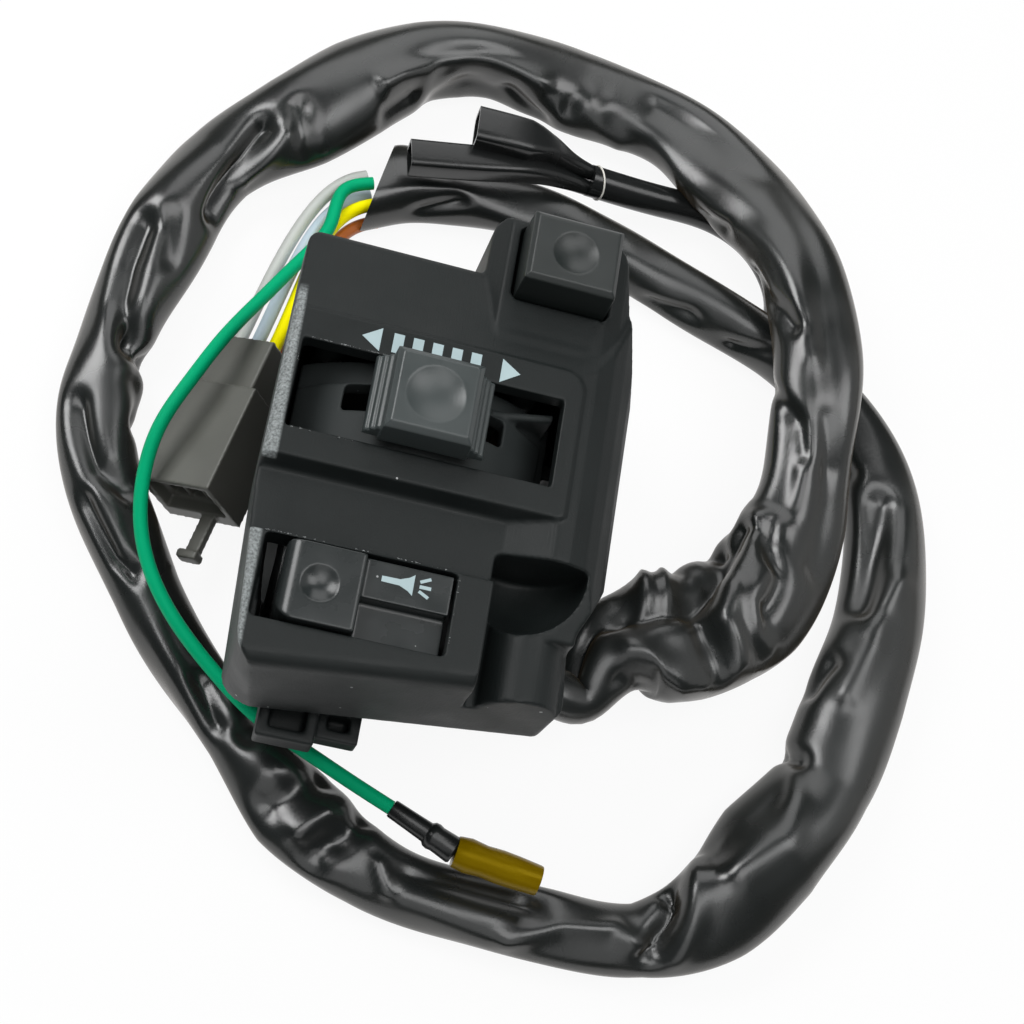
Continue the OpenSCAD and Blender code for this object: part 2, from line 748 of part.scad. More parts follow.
// Square lugs below the chin, each with a blind window in its front
module chin_lugs() {
    for (g = lugs) difference() {
        block(g[0], g[1], g[2], -waist_y - lug_root, g[3], g[4]);
        block(g[0] + lug_wall, g[1] - lug_wall, g[2] + lug_wall, -chin_y + lug_root, g[4] - lug_deep, far);
    }
}
module front_case() {
    color("#1d1e20") difference() {
        union() {
            difference() {
                front_outer();
                difference() {
                    union() {
                        front_block(wall);
                        pedestal_block(wall);
                    }
                    front_inside();
                }
            }
            chin_lugs();
        }
        // Turn slot, horn opening, dip opening and pocket
        block(-slot_w / 2, slot_w / 2, slot_y - slot_h / 2, slot_y + slot_h / 2, in_z - joint_over, far);
        translate([0, 0, valley_z - wall - joint_over]) linear_extrude(far) polygon(rounded([
            [horn_x0, horn_y0, horn_open_r],
            [horn_x1, horn_y0, horn_open_r],
            [horn_x1, horn_y1, horn_open_r],
            [horn_x0, horn_y1, horn_open_r]]));
        translate([dip_x, dip_y, dip_low - dip_travel - joint_over]) linear_extrude(far) polygon(rounded([
            [-dip_open_w / 2, -dip_open_h / 2, dip_open_r],
            [dip_open_w / 2, -dip_open_h / 2, dip_open_r],
            [dip_open_w / 2, dip_open_h / 2, dip_open_r],
            [-dip_open_w / 2, dip_open_h / 2, dip_open_r]]));
        scoop(0);
        // Bar, cable outlet, screws and pins
        rod_x(0, 0, bar_r, -far, far);
        cable_outlet();
        for (p = screw_spots)
            translate([p[0], p[1], -joint_over])
                cylinder(r = screw_r + pin_gap, h = screw_up + 2 * joint_over);
        for (p = turn_posts) post_bore(p, base_top);
        for (p = dip_posts) post_bore(p, dip_base_top);
        post_bore(horn_post, horn_base_top);
        rod_y(horn_pivot_x, horn_pivot_z, horn_pin_r + pin_gap, horn_y0 - pin_rib_t, horn_y1 + pin_rib_t);
    }
}
// Outer block of the rear half, or with inset i the room inside it
module rear_block(i) {
    intersection() {
        translate([0, 0, -far]) linear_extrude(far + (i > 0 ? joint_over : 0)) polygon(rounded([
            [-rear_left_x + i, chin_line(-rear_left_x, -waist_y) - plan_over + i, chin_corner_r],
            [-rear_left_x + i, top_y - top_back_in - i, top_r],
            [right_x - top_in - belt_in - i, top_y - top_back_in - i, top_right_r],
            [right_x - belt_in - i, bend_y, shoulder_side_r],
            [right_x - belt_in - i, right_bend_y, right_bend_r],
            [right_low_x - i, right_low_y, right_low_r],
            [right_low_x - i, chin_line(right_low_x, -waist_y) - plan_over + i, right_chin_r]]));
        chin_side() along_x(-far, far) polygon(rounded([
            [-waist_y + i, joint_over, 0],
            [-waist_y + i, 0, 0],
            [-waist_y + rear_in + i, -rear_waist_z + i / 2, rear_r],
            [rear_pad_y0 + i / 2, -back_z + i, rear_r],
            [far, -back_z + i, 0],
            [far, joint_over, 0]]));
        along_x(-far, far) polygon(rounded([
            [-far, joint_over, 0],
            [-far, -back_z + i, 0],
            [rear_pad_y1 - i / 2, -back_z + i, rear_top_r],
            [top_y - rear_in - i, -rear_top_z + i / 2, rear_top_r],
            [top_y - top_back_in - i, joint_over, 0]]));
        along_y(-far, far) polygon(rounded([
            [-rear_left_x + i, joint_over, 0],
            [-rear_left_x + rear_draft + i, -back_z + i, rear_r],
            [right_x - rear_in - i, -back_z + i, rear_top_r],
            [right_x - belt_in - i, joint_over, 0]]));
    }
}
module rear_inside() {
    for (x = rib_xs) block(x - rib_t / 2, x + rib_t / 2, -waist_y, divide_y + wall, -back_z, 0);
    block(-left_x, right_x, divide_y, divide_y + wall, -back_z, 0);
    for (p = screw_spots)
        translate([p[0], p[1], -back_z]) cylinder(r = screw_head_r + well_wall, h = back_z);
}
module rear_case() {
    color("#1a1b1d") difference() {
        rear_block(0);
        difference() {
            rear_block(wall);
            rear_inside();
        }
        rod_x(0, 0, bar_r, -far, far);
        cable_outlet();
        for (p = screw_spots) {
            translate([p[0], p[1], -far]) cylinder(r = screw_r + pin_gap, h = far + joint_over);
            translate([p[0], p[1], -far]) cylinder(r = screw_head_r + seat_gap, h = far + screw_seat_z);
        }
    }
}
module case_screws() {
    color("silver") for (p = screw_spots) translate([p[0], p[1], screw_seat_z]) difference() {
        union() {
            cylinder(r = screw_r, h = screw_up - screw_seat_z);
            translate([0, 0, -screw_head_t]) cylinder(r = screw_head_r, h = screw_head_t);
        }
        for (a = [0, 90]) rotate([0, 0, a])
            block(-screw_r, screw_r, -cross_t / 2, cross_t / 2, -far, cross_deep - screw_head_t);
    }
}
// Countersunk screw whose flat head is flush with the lower face of a base at the height z
module base_screw(x, y, z) {
    r = base_screw_d / 2;
    translate([x, y, z]) rotate_extrude() polygon([
        [0, 0], [r + base_head, 0], [r, base_head], [r, base_t + base_grip], [0, base_t + base_grip]]);
}
module base_screw_hole(x, y, z) {
    r = base_screw_d / 2 + pin_gap;
    translate([x, y, z]) rotate_extrude() polygon([
        [0, -joint_over], [r + base_head + joint_over, -joint_over], [r, base_head],
        [r, base_t + joint_over], [0, base_t + joint_over]]);
}
module base_screws() {
    color("silver") {
        for (p = turn_posts) base_screw(p[0], p[1], base_low);
        for (p = dip_posts) base_screw(p[0], p[1], dip_base_top - base_t);
        base_screw(horn_post[0], horn_post[1], horn_base_top - base_t);
    }
}
// Hole for the grommet, with room for its flange and the sheath outside the wall
module cable_outlet() {
    rod_x(outlet_y, 0, outlet_r, right_low_x - wall - outlet_deep, far);
    rod_x(outlet_y, 0, flange_r + 2 * button_gap, right_low_x, far);
}
module cable_grommet() {
    color("#202124") difference() {
        union() {
            rod_x(outlet_y, 0, outlet_r - pin_gap, right_low_x - wall - grommet_out, right_low_x);
            rod_x(outlet_y, 0, flange_r, right_low_x, right_low_x + flange_t);
        }
        rod_x(outlet_y, 0, outlet_r - grommet_wall, -far, right_low_x + flange_t - grommet_skin);
    }
}

// Turn switch
module turn_knob() {
    color("#232427") difference() {
        union() {
            translate([0, slot_y, 0]) key(knob_w, knob_w, knob_draft, knob_low, knob_top, knob_bevel);
            for (k = [1:knob_ribs])
                translate([0, slot_y, 0]) key(knob_w + 2 * k * rib_step, knob_w - rib_in, rib_bevel,
                    knob_low, knob_top - rib_drop - k * rib_step, rib_bevel);
        }
        translate([0, slot_y, 0]) dimple(knob_dimple_d, knob_dimple, knob_top);
        block(-stem_w / 2 - pin_gap, stem_w / 2 + pin_gap, window_y - stem_t / 2 - pin_gap,
            window_y + stem_t / 2 + pin_gap, -far, knob_low + stem_deep);
    }
}
module turn_lever() {
    color("#26272a") difference() {
        union() {
            block(-stem_w / 2, stem_w / 2, window_y - stem_t / 2, window_y + stem_t / 2,
                turn_pivot_z, knob_low + stem_deep);
            rod_y(0, turn_pivot_z, hub_r, slot_y - hub_half, slot_y + hub_half);
            difference() {
                rod_y(0, turn_pivot_z, detent_r, slot_y - detent_half, slot_y + detent_half);
                block(-far, far, -far, far, turn_pivot_z, far);
            }
        }
        rod_y(0, turn_pivot_z, turn_pin_r + pin_gap, -far, far);
        for (a = [-turn_swing, 0, turn_swing])
            rod_y(detent_r * sin(a), turn_pivot_z - detent_r * cos(a), notch_r, -far, far);
    }
}
// Moving contact: two curved brass shoes round the hub
module turn_bridge() {
    color("goldenrod") for (s = [-1, 1]) difference() {
        rod_y(0, turn_pivot_z, hub_r + bridge_t,
            slot_y + s * stud_dy - stud_w / 2, slot_y + s * stud_dy + stud_w / 2);
        rod_y(0, turn_pivot_z, hub_r, -far, far);
        block(-far, far, -far, far, turn_pivot_z - shoe_drop, far);
    }
}
module turn_frame() {
    reach = slot_w / 2 + shield_out;
    reach_left = left_x - wall - shield_out;
    color("#17181a") difference() {
        union() {
            intersection() {
                difference() {
                    rod_y(0, shield_z, shield_r, slot_y - frame_half, slot_y + frame_half);
                    rod_y(0, shield_z, shield_r - shield_t, -far, far);
                }
                block(-reach_left, reach, -far, far, base_top, far);
            }
            // Land inside the slot, and the curled edge behind its right half
            intersection() {
                difference() {
                    union() {
                        rod_y(0, land_z, land_r, slot_y - slot_h / 2 + button_gap, land_y);
                        translate([curl_x, land_y + curl_r, curl_z]) rotate([0, 0, curl_turn]) {
                            rod_x(0, 0, curl_r, 0, curl_l);
                            block(0, curl_l, -curl_r, curl_r, -curl_deep, 0);
                        }
                    }
                    rod_y(0, shield_z, shield_r - shield_t, -far, far);
                }
                block(-reach_left, slot_w / 2 - button_gap, -far, far, base_top, far);
            }
            intersection() {
                rod_y(0, shield_z, shield_r - shield_t / 2, slot_y - frame_half, slot_y + frame_half);
                difference() {
                    block(-cheek_x, cheek_x, -far, far, base_top, far);
                    block(-far, far, slot_y - frame_half + shield_t, slot_y + frame_half - shield_t,
                        -far, far);
                }
            }
        }
        block(-window_w / 2, window_w / 2, window_y - window_h / 2, window_y + window_h / 2, shield_z, far);
        rod_y(0, turn_pivot_z, turn_pin_r + pin_gap, -far, far);
    }
}
module turn_pivot_pin() {
    color("silver") rod_y(0, turn_pivot_z, turn_pin_r, slot_y - frame_half, slot_y + frame_half);
}
module turn_base() {
    y0 = turn_posts[2][1] - post_r;
    y1 = turn_posts[0][1] + post_r;
    color("#6b4a2b") difference() {
        union() {
            block(-cheek_x - base_out, cheek_x + base_out, slot_y - frame_half, slot_y + frame_half,
                base_low, base_top);
            block(-turn_post_x - post_r, turn_post_x + post_r, slot_y + frame_half - joint_over, y1,
                base_low, base_top);
            block(-post_r - post_root, post_r + post_root, y0, slot_y, base_low, base_top);
        }
        for (p = turn_posts) base_screw_hole(p[0], p[1], base_low);
    }
}
// Three contact studs under each shoe, hollowed to the sweep of the shoes
module turn_contacts() {
    color("goldenrod") difference() {
        for (s = [-1, 1]) for (x = [-stud_pitch, 0, stud_pitch])
            block(x - stud_half, x + stud_half,
                slot_y + s * stud_dy - stud_w / 2, slot_y + s * stud_dy + stud_w / 2,
                base_top, turn_pivot_z - stud_drop);
        rod_y(0, turn_pivot_z, hub_r + bridge_t + sweep_gap, -far, far);
    }
}
// Bent leaf that clicks into the notches of the lever
module detent_leaf() {
    low = [
        [-leaf_end, 0], [-leaf_bend, 0], [-leaf_tip, leaf_rise],
        [leaf_tip, leaf_rise], [leaf_bend, 0], [leaf_end, 0]];
    m = len(low) - 1;
    color("lightsteelblue") along_y(slot_y - leaf_half, slot_y + leaf_half) translate([0, base_top])
        polygon(concat(low, [for (i = [0:m]) low[m - i] + [0, leaf_t]]));
}

// Horn switch
module horn_button() {
    y0 = horn_y0 + button_gap;
    y1 = horn_y1 - button_gap;
    x1 = horn_x1 - button_gap;
    color("#1b1c1e") difference() {
        union() {
            intersection() {
                along_y(y0, y1) polygon(rounded([
                    [horn_left, horn_low, 0],
                    [horn_left, horn_pad_z, horn_end_r],
                    [horn_pad_x, horn_pad_z, horn_step_r],
                    [horn_pad_x, horn_low, 0]]));
                linear_extrude(far) polygon(rounded([
                    [horn_left, y0, horn_low_r],
                    [horn_pad_x, y0, 0],
                    [horn_pad_x, y1, 0],
                    [horn_left, y1, horn_top_r]]));
            }
            block(horn_pad_x - weld, x1, horn_y - weld, y1, horn_low, horn_strip_z);
            block(horn_pad_x - weld, x1, y0, horn_y, horn_low, horn_step_z);
            for (y = [y0 + horn_ear_in, y1 - horn_ear_in - horn_ear_t]) {
                rod_y(horn_pivot_x, horn_pivot_z, horn_ear_r, y, y + horn_ear_t);
                block(horn_pivot_x - horn_ear_half, horn_pivot_x + horn_ear_half, y, y + horn_ear_t,
                    horn_pivot_z, horn_low + weld);
            }
            translate([horn_spring_x, horn_y, horn_low - horn_peg])
                cylinder(r = horn_peg_r, h = horn_peg + weld);
        }
        translate([horn_dimple_x, horn_y, 0]) dimple(horn_dimple_d, horn_dimple, horn_pad_z);
        rod_y(horn_pivot_x, horn_pivot_z, horn_pin_r + pin_gap, -far, far);
    }
}
module horn_pivot_pin() {
    color("silver") rod_y(horn_pivot_x, horn_pivot_z, horn_pin_r, horn_y0 - pin_rib_t, horn_y1 + pin_rib_t);
}
module coil_spring(x, y, r, z0, z1) {
    rise = z1 - z0 - spring_wire;
    path = [
        for (i = [0:8 * spring_curls])
            [x + r * cos(45 * i), y + r * sin(45 * i), z0 + spring_wire / 2 + rise * i / (8 * spring_curls)]];
    echo(spring_gap = own_gap(path, 5, spring_wire));
    round_tube(path, spring_wire, 6);
}
module horn_spring() {
    color("lightsteelblue") coil_spring(horn_spring_x, horn_y, horn_spring_r, horn_base_top, horn_low);
}
module horn_base() {
    color("#6b4a2b") difference() {
        union() {
            block(horn_ledge_x, horn_x1, horn_y - horn_base_half, horn_y + horn_base_half,
                horn_base_top - base_t, horn_base_top);
            block(horn_stop_x, horn_stop_x + stop_w, horn_y, horn_y1 + seat_gap + pin_rib_t,
                horn_base_top - base_t, horn_base_top);
            block(horn_x1 - horn_foot_w, horn_post[0] + post_r, horn_post[1] - post_r, horn_y - horn_foot_in,
                horn_base_top - base_t, horn_base_top);
            translate([horn_spring_x, horn_y, horn_base_top - weld]) cylinder(r = horn_peg_r, h = horn_peg);
        }
        base_screw_hole(horn_post[0], horn_post[1], horn_base_top - base_t);
    }
}
// Spring leaf of the horn contact, bent up from the base towards the stud on the button
module horn_leaf() {
    color("goldenrod") along_y(horn_y - horn_leaf_half, horn_y + horn_leaf_half)
        translate([0, horn_base_top]) polygon([
            [horn_leaf_x[1] - leaf_t / 2, 0], [horn_leaf_x[2], 0],
            [horn_leaf_x[2], leaf_t], [horn_leaf_x[1], leaf_t],
            [horn_leaf_x[0] + leaf_t / 2, horn_leaf_rise + leaf_t], [horn_leaf_x[0], horn_leaf_rise]]);
}
module horn_stud() {
    color("goldenrod") translate([horn_stud_x, horn_y, horn_low - horn_stud_h])
        cylinder(r = horn_stud_r, h = horn_stud_h);
}

// Dip switch
module dip_button() {
    color("#232427") difference() {
        translate([dip_x, dip_y, 0]) key(dip_w, dip_h, dip_draft, dip_low, dip_top, dip_bevel);
        translate([dip_x, dip_y, 0]) dimple(dip_dimple_d, dip_dimple, dip_top);
        translate([dip_x, dip_y, dip_low - joint_over])
            cylinder(r = plunger_r - plunger_step + pin_gap, h = plunger_deep + joint_over);
    }
}
module dip_plunger() {
    foot_z = dip_base_top - dip_base_t - sweep_gap;
    color("#e8e6df") translate([dip_x, dip_y, 0]) {
        translate([0, 0, dip_low]) cylinder(r = plunger_r - plunger_step, h = plunger_deep - pin_gap);
        translate([0, 0, foot_z]) cylinder(r = plunger_r, h = dip_low - foot_z);
        translate([0, 0, foot_z - plunger_foot]) cylinder(r = plunger_r + plunger_step, h = plunger_foot);
    }
}
module dip_bridge() {
    z = dip_base_top - dip_base_t - sweep_gap - plunger_foot;
    color("goldenrod") translate([dip_x, dip_y, z - dip_bridge_t])
        cylinder(r = plunger_r + dip_bridge_out, h = dip_bridge_t);
}
module dip_spring() {
    color("lightsteelblue") coil_spring(dip_x, dip_y, dip_spring_r, dip_base_top, dip_low);
}
module dip_base() {
    z0 = dip_base_top - dip_base_t;
    color("#6b4a2b") difference() {
        union() {
            block(dip_x - dip_base_half, dip_x + dip_base_half, dip_y + dip_base_y[0], dip_y + dip_base_y[1],
                z0, dip_base_top);
            block(dip_posts[0][0] - post_r, dip_posts[1][0] + post_r,
                dip_posts[0][1] - post_r, dip_posts[0][1] + post_r,
                dip_base_top - base_t, dip_base_top);
        }
        translate([dip_x, dip_y, z0 - joint_over])
            cylinder(r = plunger_r + pin_gap, h = dip_base_t + 2 * joint_over);
        for (p = dip_posts) base_screw_hole(p[0], p[1], dip_base_top - base_t);
    }
}
module dip_contacts() {
    z0 = dip_base_top - dip_base_t;
    color("goldenrod") for (s = [-1, 1])
        block(dip_x + s * dip_contact_x - dip_pin_half, dip_x + s * dip_contact_x + dip_pin_half,
            dip_y - dip_pin_w, dip_y + dip_pin_w, z0 - dip_pin_l, z0);
}

// Harness
// Past the outlet, a thinner stretch of the sheath sinks until it lies on the surface
sheath_path = [
    for (i = [0:len(harness_route) - 1])
        harness_route[i] + [0, 0, i < outlet_points ? 0 : (lookup(i, sheath_fill) - 1) * sheath_t / 2]];
module harness_sheath() {
    echo(sheath_gap = own_gap(sheath_path, 6, sheath_t));
    color("#141517") swept(sheath_path, [
        for (i = [0:len(sheath_path) - 1]) [sheath_w, sheath_t] / 2 * lookup(i, sheath_fill)], 10);
}
sheath_end = sheath_path[len(sheath_path) - 1];
sheath_dir = unit(sheath_end - sheath_path[len(sheath_path) - 2]);
sheath_side = unit(cross(sheath_dir, [0, 0, 1]));
sheath_up = cross(sheath_side, sheath_dir);
// Point on the open end of the sheath, s to its side and u above its middle
function sheath_spot(s, u) = sheath_end + sheath_side * s + sheath_up * u;
// Direction and point in the connector's frame turned into the part's frame
function conn_turn(p) =
    let (
        x = p[0] * cos(conn_roll) + p[2] * sin(conn_roll),
        z = p[2] * cos(conn_roll) - p[0] * sin(conn_roll))
    [x * cos(conn_yaw) - p[1] * sin(conn_yaw), x * sin(conn_yaw) + p[1] * cos(conn_yaw), z];
function conn_spot(p) = conn_at + conn_turn(p);
module conn_frame() {
    translate(conn_at) rotate([0, 0, conn_yaw]) rotate([0, conn_roll, 0]) children();
}
// Wire from a spot on the sheath's open end to the wire cell in the given column and row
function cell_wire(s, u, col, row) =
    let (
        a = sheath_spot(s, u),
        d = conn_spot([col * cell_pitch, conn_l + neck_l, row * cell_pitch / 2]))
    let (
        b = a + sheath_dir * wire_lead,
        c = d + conn_turn([0, wire_lead, 0]),
        b1 = b + sheath_dir * wire_pull[0],
        c1 = c + conn_turn([0, wire_pull[1], 0]))
    concat([a], [for (k = [0:12]) bezier(b, b1, c1, c, k / 12)], [d]);
module grey_wire() {
    color("lightgray") round_tube(cell_wire(4.2, 0.4, -1, 1), wire_d, 8);
}
module blue_wire() {
    color("lightsteelblue") round_tube(cell_wire(1.2, -1, 0, 1), wire_d, 8);
}
module yellow_wire() {
    color("gold") round_tube(cell_wire(-1.6, 1, 1, 1), wire_d, 8);
}
module orange_wire() {
    color("darkorange") round_tube(cell_wire(-3.6, -1.6, 1, -1), wire_d, 8);
}
module green_wire() {
    a = sheath_spot(1.6, 2.6);
    path = concat([a, a + sheath_dir * green_lead], green_route, [bullet_start]);
    color("#00a06a") round_tube(path, wire_d, 8);
}
module wire_connector() {
    color("#3a3b3d") conn_frame() difference() {
        union() {
            block(-conn_w / 2, conn_w / 2, 0, conn_l, -conn_t / 2, conn_t / 2);
            block(-neck_w / 2, neck_w / 2, conn_l - joint_over, conn_l + neck_l, -neck_t / 2, neck_t / 2);
            // Latch arm past the mating end, with the hook at its tip
            block(conn_w / 2 - latch_x - latch_w, conn_w / 2 - latch_x, -latch_l, joint_over,
                -conn_t / 2 + latch_z, -conn_t / 2 + latch_z + latch_t);
            block(conn_w / 2 - latch_x - latch_w - hook_out, conn_w / 2 - latch_x + hook_out,
                -latch_l, -latch_l + hook_l, -conn_t / 2 + latch_z, -conn_t / 2 + latch_z + hook_t);
        }
        block(-conn_w / 2 + rim_wall, conn_w / 2 - rim_wall, -joint_over, rim_deep,
            -conn_t / 2 + rim_low, conn_t / 2 - rim_wall);
        for (col = [-1, 0, 1]) for (row = [-1, 1])
            block(col * cell_pitch - cell_w / 2, col * cell_pitch + cell_w / 2, 0, cell_deep,
                row * cell_pitch / 2 + cell_up - cell_w / 2, row * cell_pitch / 2 + cell_up + cell_w / 2);
    }
}
module connector_terminals() {
    color("goldenrod") conn_frame() for (col = [-1, 0, 1]) for (row = [-1, 1])
        block(col * cell_pitch - blade_half, col * cell_pitch + blade_half, blade_start, cell_deep,
            row * cell_pitch / 2 + cell_up - blade_t / 2, row * cell_pitch / 2 + cell_up + blade_t / 2);
}
// Terminal on the green wire: black tapered sleeve, amber sleeve and the bullet inside it
module bullet_sleeve_black() {
    l = norm(bullet_mid - bullet_start);
    color("#202020") aim(bullet_start, bullet_mid) rotate_extrude() polygon([
        [0, 0], [black_rs[0], 0], [black_rs[1], l * black_at[0]], [black_rs[2], l * black_at[1]],
        [black_rs[2], l], [0, l]]);
}
module bullet_sleeve_amber() {
    l = norm(bullet_end - bullet_mid);
    color("#d9a514") aim(bullet_mid, bullet_end) rotate_extrude() polygon([
        [amber_bores[0], 0], [amber_rs[0], 0], [amber_rs[1], amber_step], [amber_rs[1], l],
        [amber_bores[1], l], [amber_bores[1], amber_step + amber_lead], [amber_bores[0], amber_step]]);
}
module bullet_terminal() {
    l = norm(bullet_end - bullet_mid);
    color("goldenrod") aim(bullet_mid, bullet_end) rotate_extrude() polygon([
        [0, 0], [bullet_rs[0], 0], [bullet_rs[0], l - bullet_ls[0]], [bullet_rs[1], l - bullet_ls[1]],
        [bullet_rs[1], l - bullet_ls[2]], [bullet_rs[2], l - bullet_ls[3]], [0, l - bullet_ls[3]]]);
}
module branch_lead() {
    color("#17181a") round_tube(branch_route, lead_d, 10);
}
// Vinyl sleeve along a route, from a thin neck to a fuller end with a bore
module vinyl_sleeve(route, sizes) {
    m = len(route) - 1;
    d = unit(route[m] - route[m - 1]);
    color("#141414") difference() {
        swept(route, sizes, 12);
        aim(route[m] - d * sleeve_bore, route[m] + d) cylinder(r = min(sizes[m]) - sleeve_wall, h = far);
    }
}
module branch_sleeve_upper() {
    vinyl_sleeve(upper_route, upper_sizes);
}
module branch_sleeve_lower() {
    vinyl_sleeve(lower_route, lower_sizes);
}
module branch_terminals() {
    color("goldenrod") for (route = [upper_route, lower_route]) {
        m = len(route) - 1;
        d = unit(route[m] - route[m - 1]);
        aim(route[m] - d * sleeve_bore, route[m]) cylinder(r = tab_r, h = tab_l);
    }
}

front_case();
rear_case();
case_screws();
base_screws();
cable_grommet();
turn_knob();
turn_lever();
turn_bridge();
turn_frame();
turn_pivot_pin();
turn_base();
turn_contacts();
detent_leaf();
horn_button();
horn_pivot_pin();
horn_spring();
horn_base();
horn_leaf();
horn_stud();
dip_button();
dip_plunger();
dip_bridge();
dip_spring();
dip_base();
dip_contacts();
harness_sheath();
green_wire();
grey_wire();
blue_wire();
yellow_wire();
orange_wire();
wire_connector();
connector_terminals();
bullet_terminal();
bullet_sleeve_black();
bullet_sleeve_amber();
branch_lead();
branch_sleeve_upper();
branch_sleeve_lower();
branch_terminals();
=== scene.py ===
import math

import bmesh
import bpy
import numpy as np
from mathutils import Matrix, Vector


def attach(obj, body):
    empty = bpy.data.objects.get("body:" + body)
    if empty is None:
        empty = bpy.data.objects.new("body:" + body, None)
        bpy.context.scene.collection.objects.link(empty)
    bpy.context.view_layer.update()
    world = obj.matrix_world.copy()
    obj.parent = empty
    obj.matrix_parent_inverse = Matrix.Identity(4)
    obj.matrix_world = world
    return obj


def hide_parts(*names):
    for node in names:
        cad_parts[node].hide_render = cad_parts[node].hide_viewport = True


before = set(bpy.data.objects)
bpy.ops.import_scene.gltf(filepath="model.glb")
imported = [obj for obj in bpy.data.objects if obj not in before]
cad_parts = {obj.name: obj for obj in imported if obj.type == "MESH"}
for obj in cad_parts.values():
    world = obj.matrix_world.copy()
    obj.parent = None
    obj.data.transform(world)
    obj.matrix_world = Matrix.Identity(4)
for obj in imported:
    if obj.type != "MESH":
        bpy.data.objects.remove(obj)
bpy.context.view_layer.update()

# Lengths are in metres. Values in millimetres are multiplied by MM.
MM = 0.001
FLOOR_Z = -15.5
rng = np.random.default_rng(12)

# Routes of the cords in millimetres, as the part's source has them. Only the branch lead differs a little,
# because it is tucked further under the sheath.
HARNESS = np.array([
    [28, -15.8, 0], [30, -15.8, 0], [35.4, -15.8, -1.6], [40, -8.8, -1.5], [46.4, -4.4, -1.8],
    [54, -0.4, -3.2], [61.5, 6.3, -4.5], [66.3, 17.3, -4.8], [68, 31, -2], [67.5, 44, 1.5],
    [65.5, 55, 1.8], [62.6, 66.3, 1.5], [57.6, 77.7, -2.5], [49, 89, -7], [36.6, 97.2, -9.8],
    [21, 100.2, -10], [6.2, 99, -10], [-7.7, 94.3, -10], [-18.3, 86.7, -10], [-27.4, 76.7, -10],
    [-37, 65.5, -10], [-42.5, 52.3, -10], [-45, 39, -10], [-46.5, 25, -10], [-45.5, 12, -10],
    [-40, -0.5, -10], [-33.5, -11, -10], [-25, -21, -10], [-14.5, -30, -10], [-3.9, -38.6, -10],
    [8.6, -45, -10], [23, -47.5, -10], [38, -48.5, -10], [52, -48, -10], [63, -41.1, -10],
    [71.2, -31.3, -10], [79.2, -18.2, -10], [83.6, -2.7, -10], [86.4, 12, -10], [86, 27, -10],
    [82, 40.5, -10], [74, 51, -10], [62.5, 58.5, -10], [47.6, 63, -10], [33, 68.2, -10],
    [18, 71.2, -10], [4, 71.5, -10], [-5, 70, -10], [-11, 67, -10]], float)
OUTLET_POINTS = 8
FILL_AT = [0, 2, 3, 4, 6, 8, 9, 13, 15, 17, 18, 19, 20, 21, 23, 26, 28, 29, 30, 33, 34, 35, 36, 37, 39,
           42, 45, 48]
FILL = [0.62, 0.62, 0.96, 1.26, 1.32, 1.1, 1.02, 1.06, 1.06, 1.3, 1.32, 1.26, 1.04, 1.06, 0.92, 0.74,
        0.8, 1, 0.84, 0.74, 1.08, 1.28, 1.12, 1.18, 1.06, 0.84, 0.76, 0.84]
SHEATH_W, SHEATH_T, MEAN_W = 13.6, 11, 14.6
GREEN = [
    [-17.3, 56.7, -5], [-20.8, 48, -3.4], [-25.5, 38, -0.4], [-30, 28, 2.4], [-33.3, 19.5, 3],
    [-36, 12, 1.6], [-36.6, 4, -0.8], [-35.3, -3, -2.4], [-32, -10, -3], [-26.8, -16.5, -3],
    [-20, -22.5, -3], [-12, -28, -3.2], [-4, -31.5, -3.6], [3, -34.4, -3.6]]
BULLET_START, BULLET_MID, BULLET_END = [10, -37.2, -3.4], [20.4, -41.7, -3], [33.6, -43.6, -2.8]
BRANCH = [[63.2, 61.6, -10.6], [63.6, 69.4, -12.4], [58.4, 78, -12.6], [49, 81.6, -11.6], [39, 80.8, -9.8],
          [25, 79.5, -7.2]]
UPPER = [[25, 80.6, -6.4], [20, 79.9, -3.6], [15.5, 79.2, -0.4], [12, 78.6, 1], [2.8, 77.9, 1.8]]
LOWER = [[25, 78.2, -7.8], [20, 77.4, -5.4], [14, 75.8, -2.6], [6, 73.6, -1.4], [-7, 70.8, -1.2]]
UPPER_HALF = [[1.3, 1.3], [1.7, 1.7], [2.3, 2.1], [3.3, 2.4], [3.4, 2.5]]
LOWER_HALF = [[1.3, 1.3], [1.8, 1.7], [2.3, 2.2], [2.6, 2.3], [2.7, 2.4]]
WIRE_D, LEAD_D = 2.2, 5.6
CONN_AT, CONN_YAW, CONN_ROLL = np.array([-29.4, 4, -6.8]), -11.5, -32
CONN_L, NECK_L, CELL_PITCH = 18.5, 9.5, 3.4


# Shapes worked out with arrays

def unit(v):
    """Each vector of an array divided by its own length."""
    return v / np.linalg.norm(v, axis=-1, keepdims=True)


